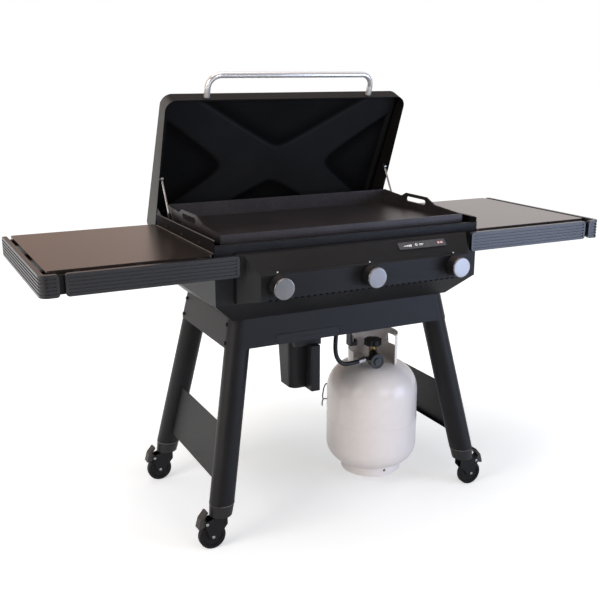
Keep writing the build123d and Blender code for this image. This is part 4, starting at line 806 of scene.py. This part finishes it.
# %% Regulator cap
REGULATOR_X = 0.140
REGULATOR_BOSS = 0.005
CAP_PROFILE = np.array(
    [
        (25.5, 0), (25.5, 2), (24, 3.5), (20.5, 3.5), (19.5, 1.5),
        (13, 1.5), (12.5, 6), (11, 7.2), (0, 7.2),
    ]
)
reg_low, reg_high = (np.array(corner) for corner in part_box("regulator"))
cap_at = (REGULATOR_X, reg_low[1] + REGULATOR_BOSS, (reg_low[2] + reg_high[2]) / 2)
cap = turned(CAP_PROFILE / 1000, cap_at, (0, -1, 0), 40)
make_piece("regulator_cap", [cap], "cart", "collar_plastic", finishes["cap_grey"], around=True)

# %% Crimped hose ferrule
FERRULE_LENGTH = 0.024
FERRULE_RADIUS = 0.0096
CRIMP_DEEP = 0.0008
CRIMPS = 4
height = np.linspace(0, FERRULE_LENGTH, 49)
crimped = FERRULE_RADIUS - CRIMP_DEEP * np.sin(np.pi * CRIMPS * height / FERRULE_LENGTH) ** 2
inner = HOSE_DIAMETER / 2
profile = np.concatenate([np.c_[crimped, height], [(inner, FERRULE_LENGTH), (inner, 0)]])
sleeve = turned(profile, route[0], route[0] - route[1], 32)
make_piece("hose_ferrule", [sleeve], "cart", "zinc_steel", around=True, along=True)

# %% Wire clip on the cylinder
CLIP_TURN = 148.3
CLIP_WIRE = 0.0021
CLIP_LINE = np.array(
    [
        (153, 354), (160, 351), (165, 338), (168, 322),
        (169.5, 306), (168, 296), (171, 284), (170.6, 272),
    ]
)
CLIP_STAY = np.array([(154.5, 298), (160, 297.5), (166, 297), (170, 297)])


def flowing(points, steps=8):
    """A smooth line through points: on each stretch the cubic that leaves and arrives along the
    direction between the neighbours."""
    padded = np.concatenate([2 * points[:1] - points[1:2], points, 2 * points[-1:] - points[-2:-1]])
    a, b, c, d = padded[:-3, None], padded[1:-2, None], padded[2:-1, None], padded[3:, None]
    t = np.linspace(0, 1, steps, endpoint=False)[None, :, None]
    square, cube = 2 * a - 5 * b + 4 * c - d, 3 * b - a - 3 * c + d
    line = 0.5 * (2 * b + (c - a) * t + square * t**2 + cube * t**3)
    return np.concatenate([line.reshape(-1, points.shape[1]), points[-1:]])


def beside_cylinder(line):
    """Points given by distance from the cylinder's axis and height, at the clip's side."""
    away, height = flowing(line / 1000).T
    turn = np.radians(CLIP_TURN)
    return tank_axis + np.stack([away * np.cos(turn), away * np.sin(turn), height], axis=-1)


def capped(tube):
    """A tube whose two end rings close in a point."""
    middles = tube[[0, -1]].mean(axis=1, keepdims=True)
    first, last = np.repeat(middles, tube.shape[1], axis=1)[:, None]
    return np.concatenate([first, tube, last])


wires = [capped(drawn(beside_cylinder(line), CLIP_WIRE, 10)) for line in (CLIP_LINE, CLIP_STAY)]
make_piece("wire_clip", wires, "cart", "zinc_steel", finishes["powder_coat"], around=True)

# %% Screws under the control panel
LOW_SCREW_X = (-0.357, -0.007, 0.261)
LOW_SCREW_AT = (-0.2592, 0.731)
LOW_FACE_NORMAL = (0, -0.759, -0.651)
heads = [screw_head((x, *LOW_SCREW_AT), LOW_FACE_NORMAL) for x in LOW_SCREW_X]
make_piece("low_screws", heads, "cart", "knob_plastic", around=True)

# %% [markdown]
# ## Seals, joint plates and edges
# A rubber bead behind the skirt closes the slit round the bucket's flap; its near-black colour is
# painted shade in the slit. Dark plates stand behind the joints of the shelf rails. Thin matt black
# sheets over the firebox sides above the shelves make that strip darker, between two thin bright
# beads that are painted highlights of the wall's edges, and the leg collars carry a bright line that
# is a painted highlight. On the lower fold of the control panel, slanted near-black plates are
# painted shade of the row of vent mouths.

# %% Seal round the bucket's flap
SEAL_RADIUS = 0.0026
SEAL_LINE = np.array(
    [
        (-243.3, 604), (-243.3, 620), (-240.5, 628.5), (-232, 631.3), (-134, 631.3),
        (-37, 631.3), (-28.5, 628.5), (-25.7, 620), (-25.7, 604),
    ]
)
SKIRT_LEAN = 0.15306
SKIRT_IN_AT = (-0.2307, 0.632)
across, height = flowing(SEAL_LINE / 1000, 10).T
behind = SKIRT_IN_AT[0] + SKIRT_LEAN * (height - SKIRT_IN_AT[1]) + SEAL_RADIUS
seal = capped(drawn(np.stack([across, behind, height], axis=-1), SEAL_RADIUS, 10))
# The bead's near-black finish is partly a real closing bead and partly painted shade in the slit round the flap.
make_piece("flap_seal", [seal], "cart", "hose_rubber", finishes["painted_shade_black"], around=True)

# %% Plates behind the rail joints
JOINT_X = 0.878
JOINT_HALF = 0.017
JOINT_Y = -0.3157
JOINT_THICK = 0.003
JOINT_LOW, JOINT_HIGH = 0.851, 0.902


def slab(low_corner, high_corner):
    """A closed box as one ring of four corners carried up, with its ends drawn to the middle."""
    (x0, y0, z0), (x1, y1, z1) = low_corner, high_corner
    ring = np.array([(x0, y0), (x1, y0), (x1, y1), (x0, y1)])
    rings = [np.c_[ring, np.full(4, z)] for z in (z0, z1)]
    return capped(np.stack(rings))


plates = [
    slab((x - JOINT_HALF, JOINT_Y, JOINT_LOW), (x + JOINT_HALF, JOINT_Y + JOINT_THICK, JOINT_HIGH))
    for x in (-JOINT_X, JOINT_X)
]
make_piece("rail_joint_plates", plates, "cart", "powder_coat", around=True)

# %% Dark sheets and painted edge highlights of the firebox sides
DARK_SHEET_THICK = 0.0010
DARK_SHEET_INSET = 0.003
DARK_SHEET_LOW, DARK_SHEET_HIGH = 0.9075, 0.9435
EDGE_RADIUS = 0.0013
EDGE_INSET = 0.004
EDGE_LINES = ((0.9448, EDGE_RADIUS), (0.9082, -0.0012))
dark_sheet_ends = box_low[1] + DARK_SHEET_INSET, box_high[1] - DARK_SHEET_INSET
# Thin matt black sheets over both firebox sides make the strip above the shelves darker.
dark_sheets = [
    slab((x, dark_sheet_ends[0], DARK_SHEET_LOW), (x + DARK_SHEET_THICK, dark_sheet_ends[1], DARK_SHEET_HIGH))
    for x in (box_low[0] - DARK_SHEET_THICK, box_high[0])
]
make_piece("firebox_dark_sheets", dark_sheets, "cart", "powder_coat", finishes["matt_black"], around=True)
# Thin bright beads along the top and lower edges of both firebox sides are painted highlights.
edges = []
along_box = np.linspace(box_low[1] + EDGE_INSET, box_high[1] - EDGE_INSET, 12)
for edge_z, inset in EDGE_LINES:
    for x in (box_low[0] + inset, box_high[0] - inset):
        line = np.stack(np.broadcast_arrays(x, along_box, edge_z), axis=-1)
        edges.append(capped(drawn(line, EDGE_RADIUS)))
make_piece("firebox_edges", edges, "cart", "powder_coat", finishes["painted_edge_highlight"], around=True)

# %% Painted highlight lines on the leg collars
COLLAR_LINE = 0.0009
LEG_RADIUS = 0.038
LEG_FOOT = (0.4429, 0.2547)
collar_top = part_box("leg_collars")[1][2]
angle = np.linspace(0, 2 * np.pi, 73)
circle = LEG_RADIUS * np.stack([np.cos(angle), np.sin(angle), np.zeros(len(angle))], axis=-1)
feet = [
    (side * LEG_FOOT[0], end * LEG_FOOT[1] + DEPTH_SHIFT, collar_top)
    for side in (-1, 1)
    for end in (-1, 1)
]
# A thin bright ring on each collar top is a painted highlight.
rings = [drawn(circle + foot, COLLAR_LINE, 8) for foot in feet]
make_piece("collar_lines", rings, "cart", "collar_plastic", finishes["painted_edge_highlight"], around=True)

# %% Painted shade of the vent mouths
VENT_COUNT, VENT_PITCH = 34, 0.020
VENT_WIDE, VENT_HIGH, VENT_SLANT = 0.0085, 0.0042, 0.0040
VENT_PROUD = 0.0003
VENT_LOW = 0.7785
# Thin near-black plates on the panel's front face are painted shade of the vent mouths at the fold.
vent_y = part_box("control_fascia")[0][1] - VENT_PROUD
s, t = np.meshgrid((0, VENT_WIDE), (0, VENT_HIGH))
mouth = np.stack([s + t * VENT_SLANT / VENT_HIGH, np.full(s.shape, vent_y), VENT_LOW + t], axis=-1)
starts = (np.arange(VENT_COUNT) - (VENT_COUNT - 1) / 2) * VENT_PITCH
mouths = [mouth + (start, 0, 0) for start in starts]
vents = make_piece("vent_mouth_shade", mouths, "cart", "knob_plastic", finishes["painted_shade_black"])


def thicken(piece, thickness):
    """Gives a sheet its thickness, half to each side."""
    plate = piece.modifiers.new("plate", "SOLIDIFY")
    plate.thickness = thickness
    plate.offset = 0


thicken(vents, VENT_PROUD)

# %% [markdown]
# ## Display marks
# The dark strip on the control panel shows a few pale marks when it is on: rising bars, a
# ring with a line beside it, and a red bar. They are thin plates that lie on the strip.

# %% Display marks
MARK_THICK = 0.0003
STRIP_HALF_THICK = 0.0015
UP_THE_SLOPE = np.array([0, 0.697, 0.717])
OUT_OF_SLOPE = np.array([0, -0.717, 0.697])
strip_middle = middle("display") + OUT_OF_SLOPE * (STRIP_HALF_THICK + MARK_THICK / 2)
BARS = [(-66 + 6 * k, -1.5, 3.6, 1.6 + 1.5 * k) for k in range(5)]
LINES = [(-4, 1.5, 16, 1.4), (-6, -2.5, 12, 1.4)]
RED_BARS = [(59, 0, 7, 6.5), (70, 0, 9, 6.5)]
RING_X, RING_RADII = -22, (2.6, 4.2)


def plate(x, up, width, height):
    """A flat plate on the strip: middle + s width/2 X + t height/2 up the slope."""
    s, t = np.meshgrid((-0.5, 0.5), (-0.5, 0.5))
    across = (x + s * width)[..., None] * (0.001, 0, 0)
    return strip_middle + across + (up + t * height)[..., None] * UP_THE_SLOPE / 1000


def mark_finish(name, pale, bright, level):
    """A lit mark: a pale colour with a little noise, and its own soft light."""
    finish = coat(pale, bright, (0.3, 0.4), 900, 0.02)
    finish.name = name
    shader = finish.node_tree.nodes["Principled BSDF"]
    shader.inputs["Emission Color"].default_value = (*bright, 1)
    shader.inputs["Emission Strength"].default_value = level
    return finish


angle = np.linspace(0, 2 * np.pi, 25)
ring_radius = np.array(RING_RADII)[:, None]
ring_mark = (
    strip_middle
    + (RING_X + ring_radius * np.cos(angle))[..., None] * (0.001, 0, 0)
    + (ring_radius * np.sin(angle))[..., None] * UP_THE_SLOPE / 1000
)
white_mark = mark_finish("white_mark", (0.70, 0.70, 0.72), (0.85, 0.85, 0.87), 0.55)
red_mark = mark_finish("red_mark", (0.55, 0.30, 0.32), (0.75, 0.45, 0.47), 0.35)
pale_plates = [plate(*mark) for mark in BARS + LINES] + [ring_mark]
red_plates = [plate(*mark) for mark in RED_BARS]
thicken(make_piece("white_marks", pale_plates, "cart", "lamp_lens", white_mark), MARK_THICK)
thicken(make_piece("red_marks", red_plates, "cart", "lamp_lens", red_mark), MARK_THICK)
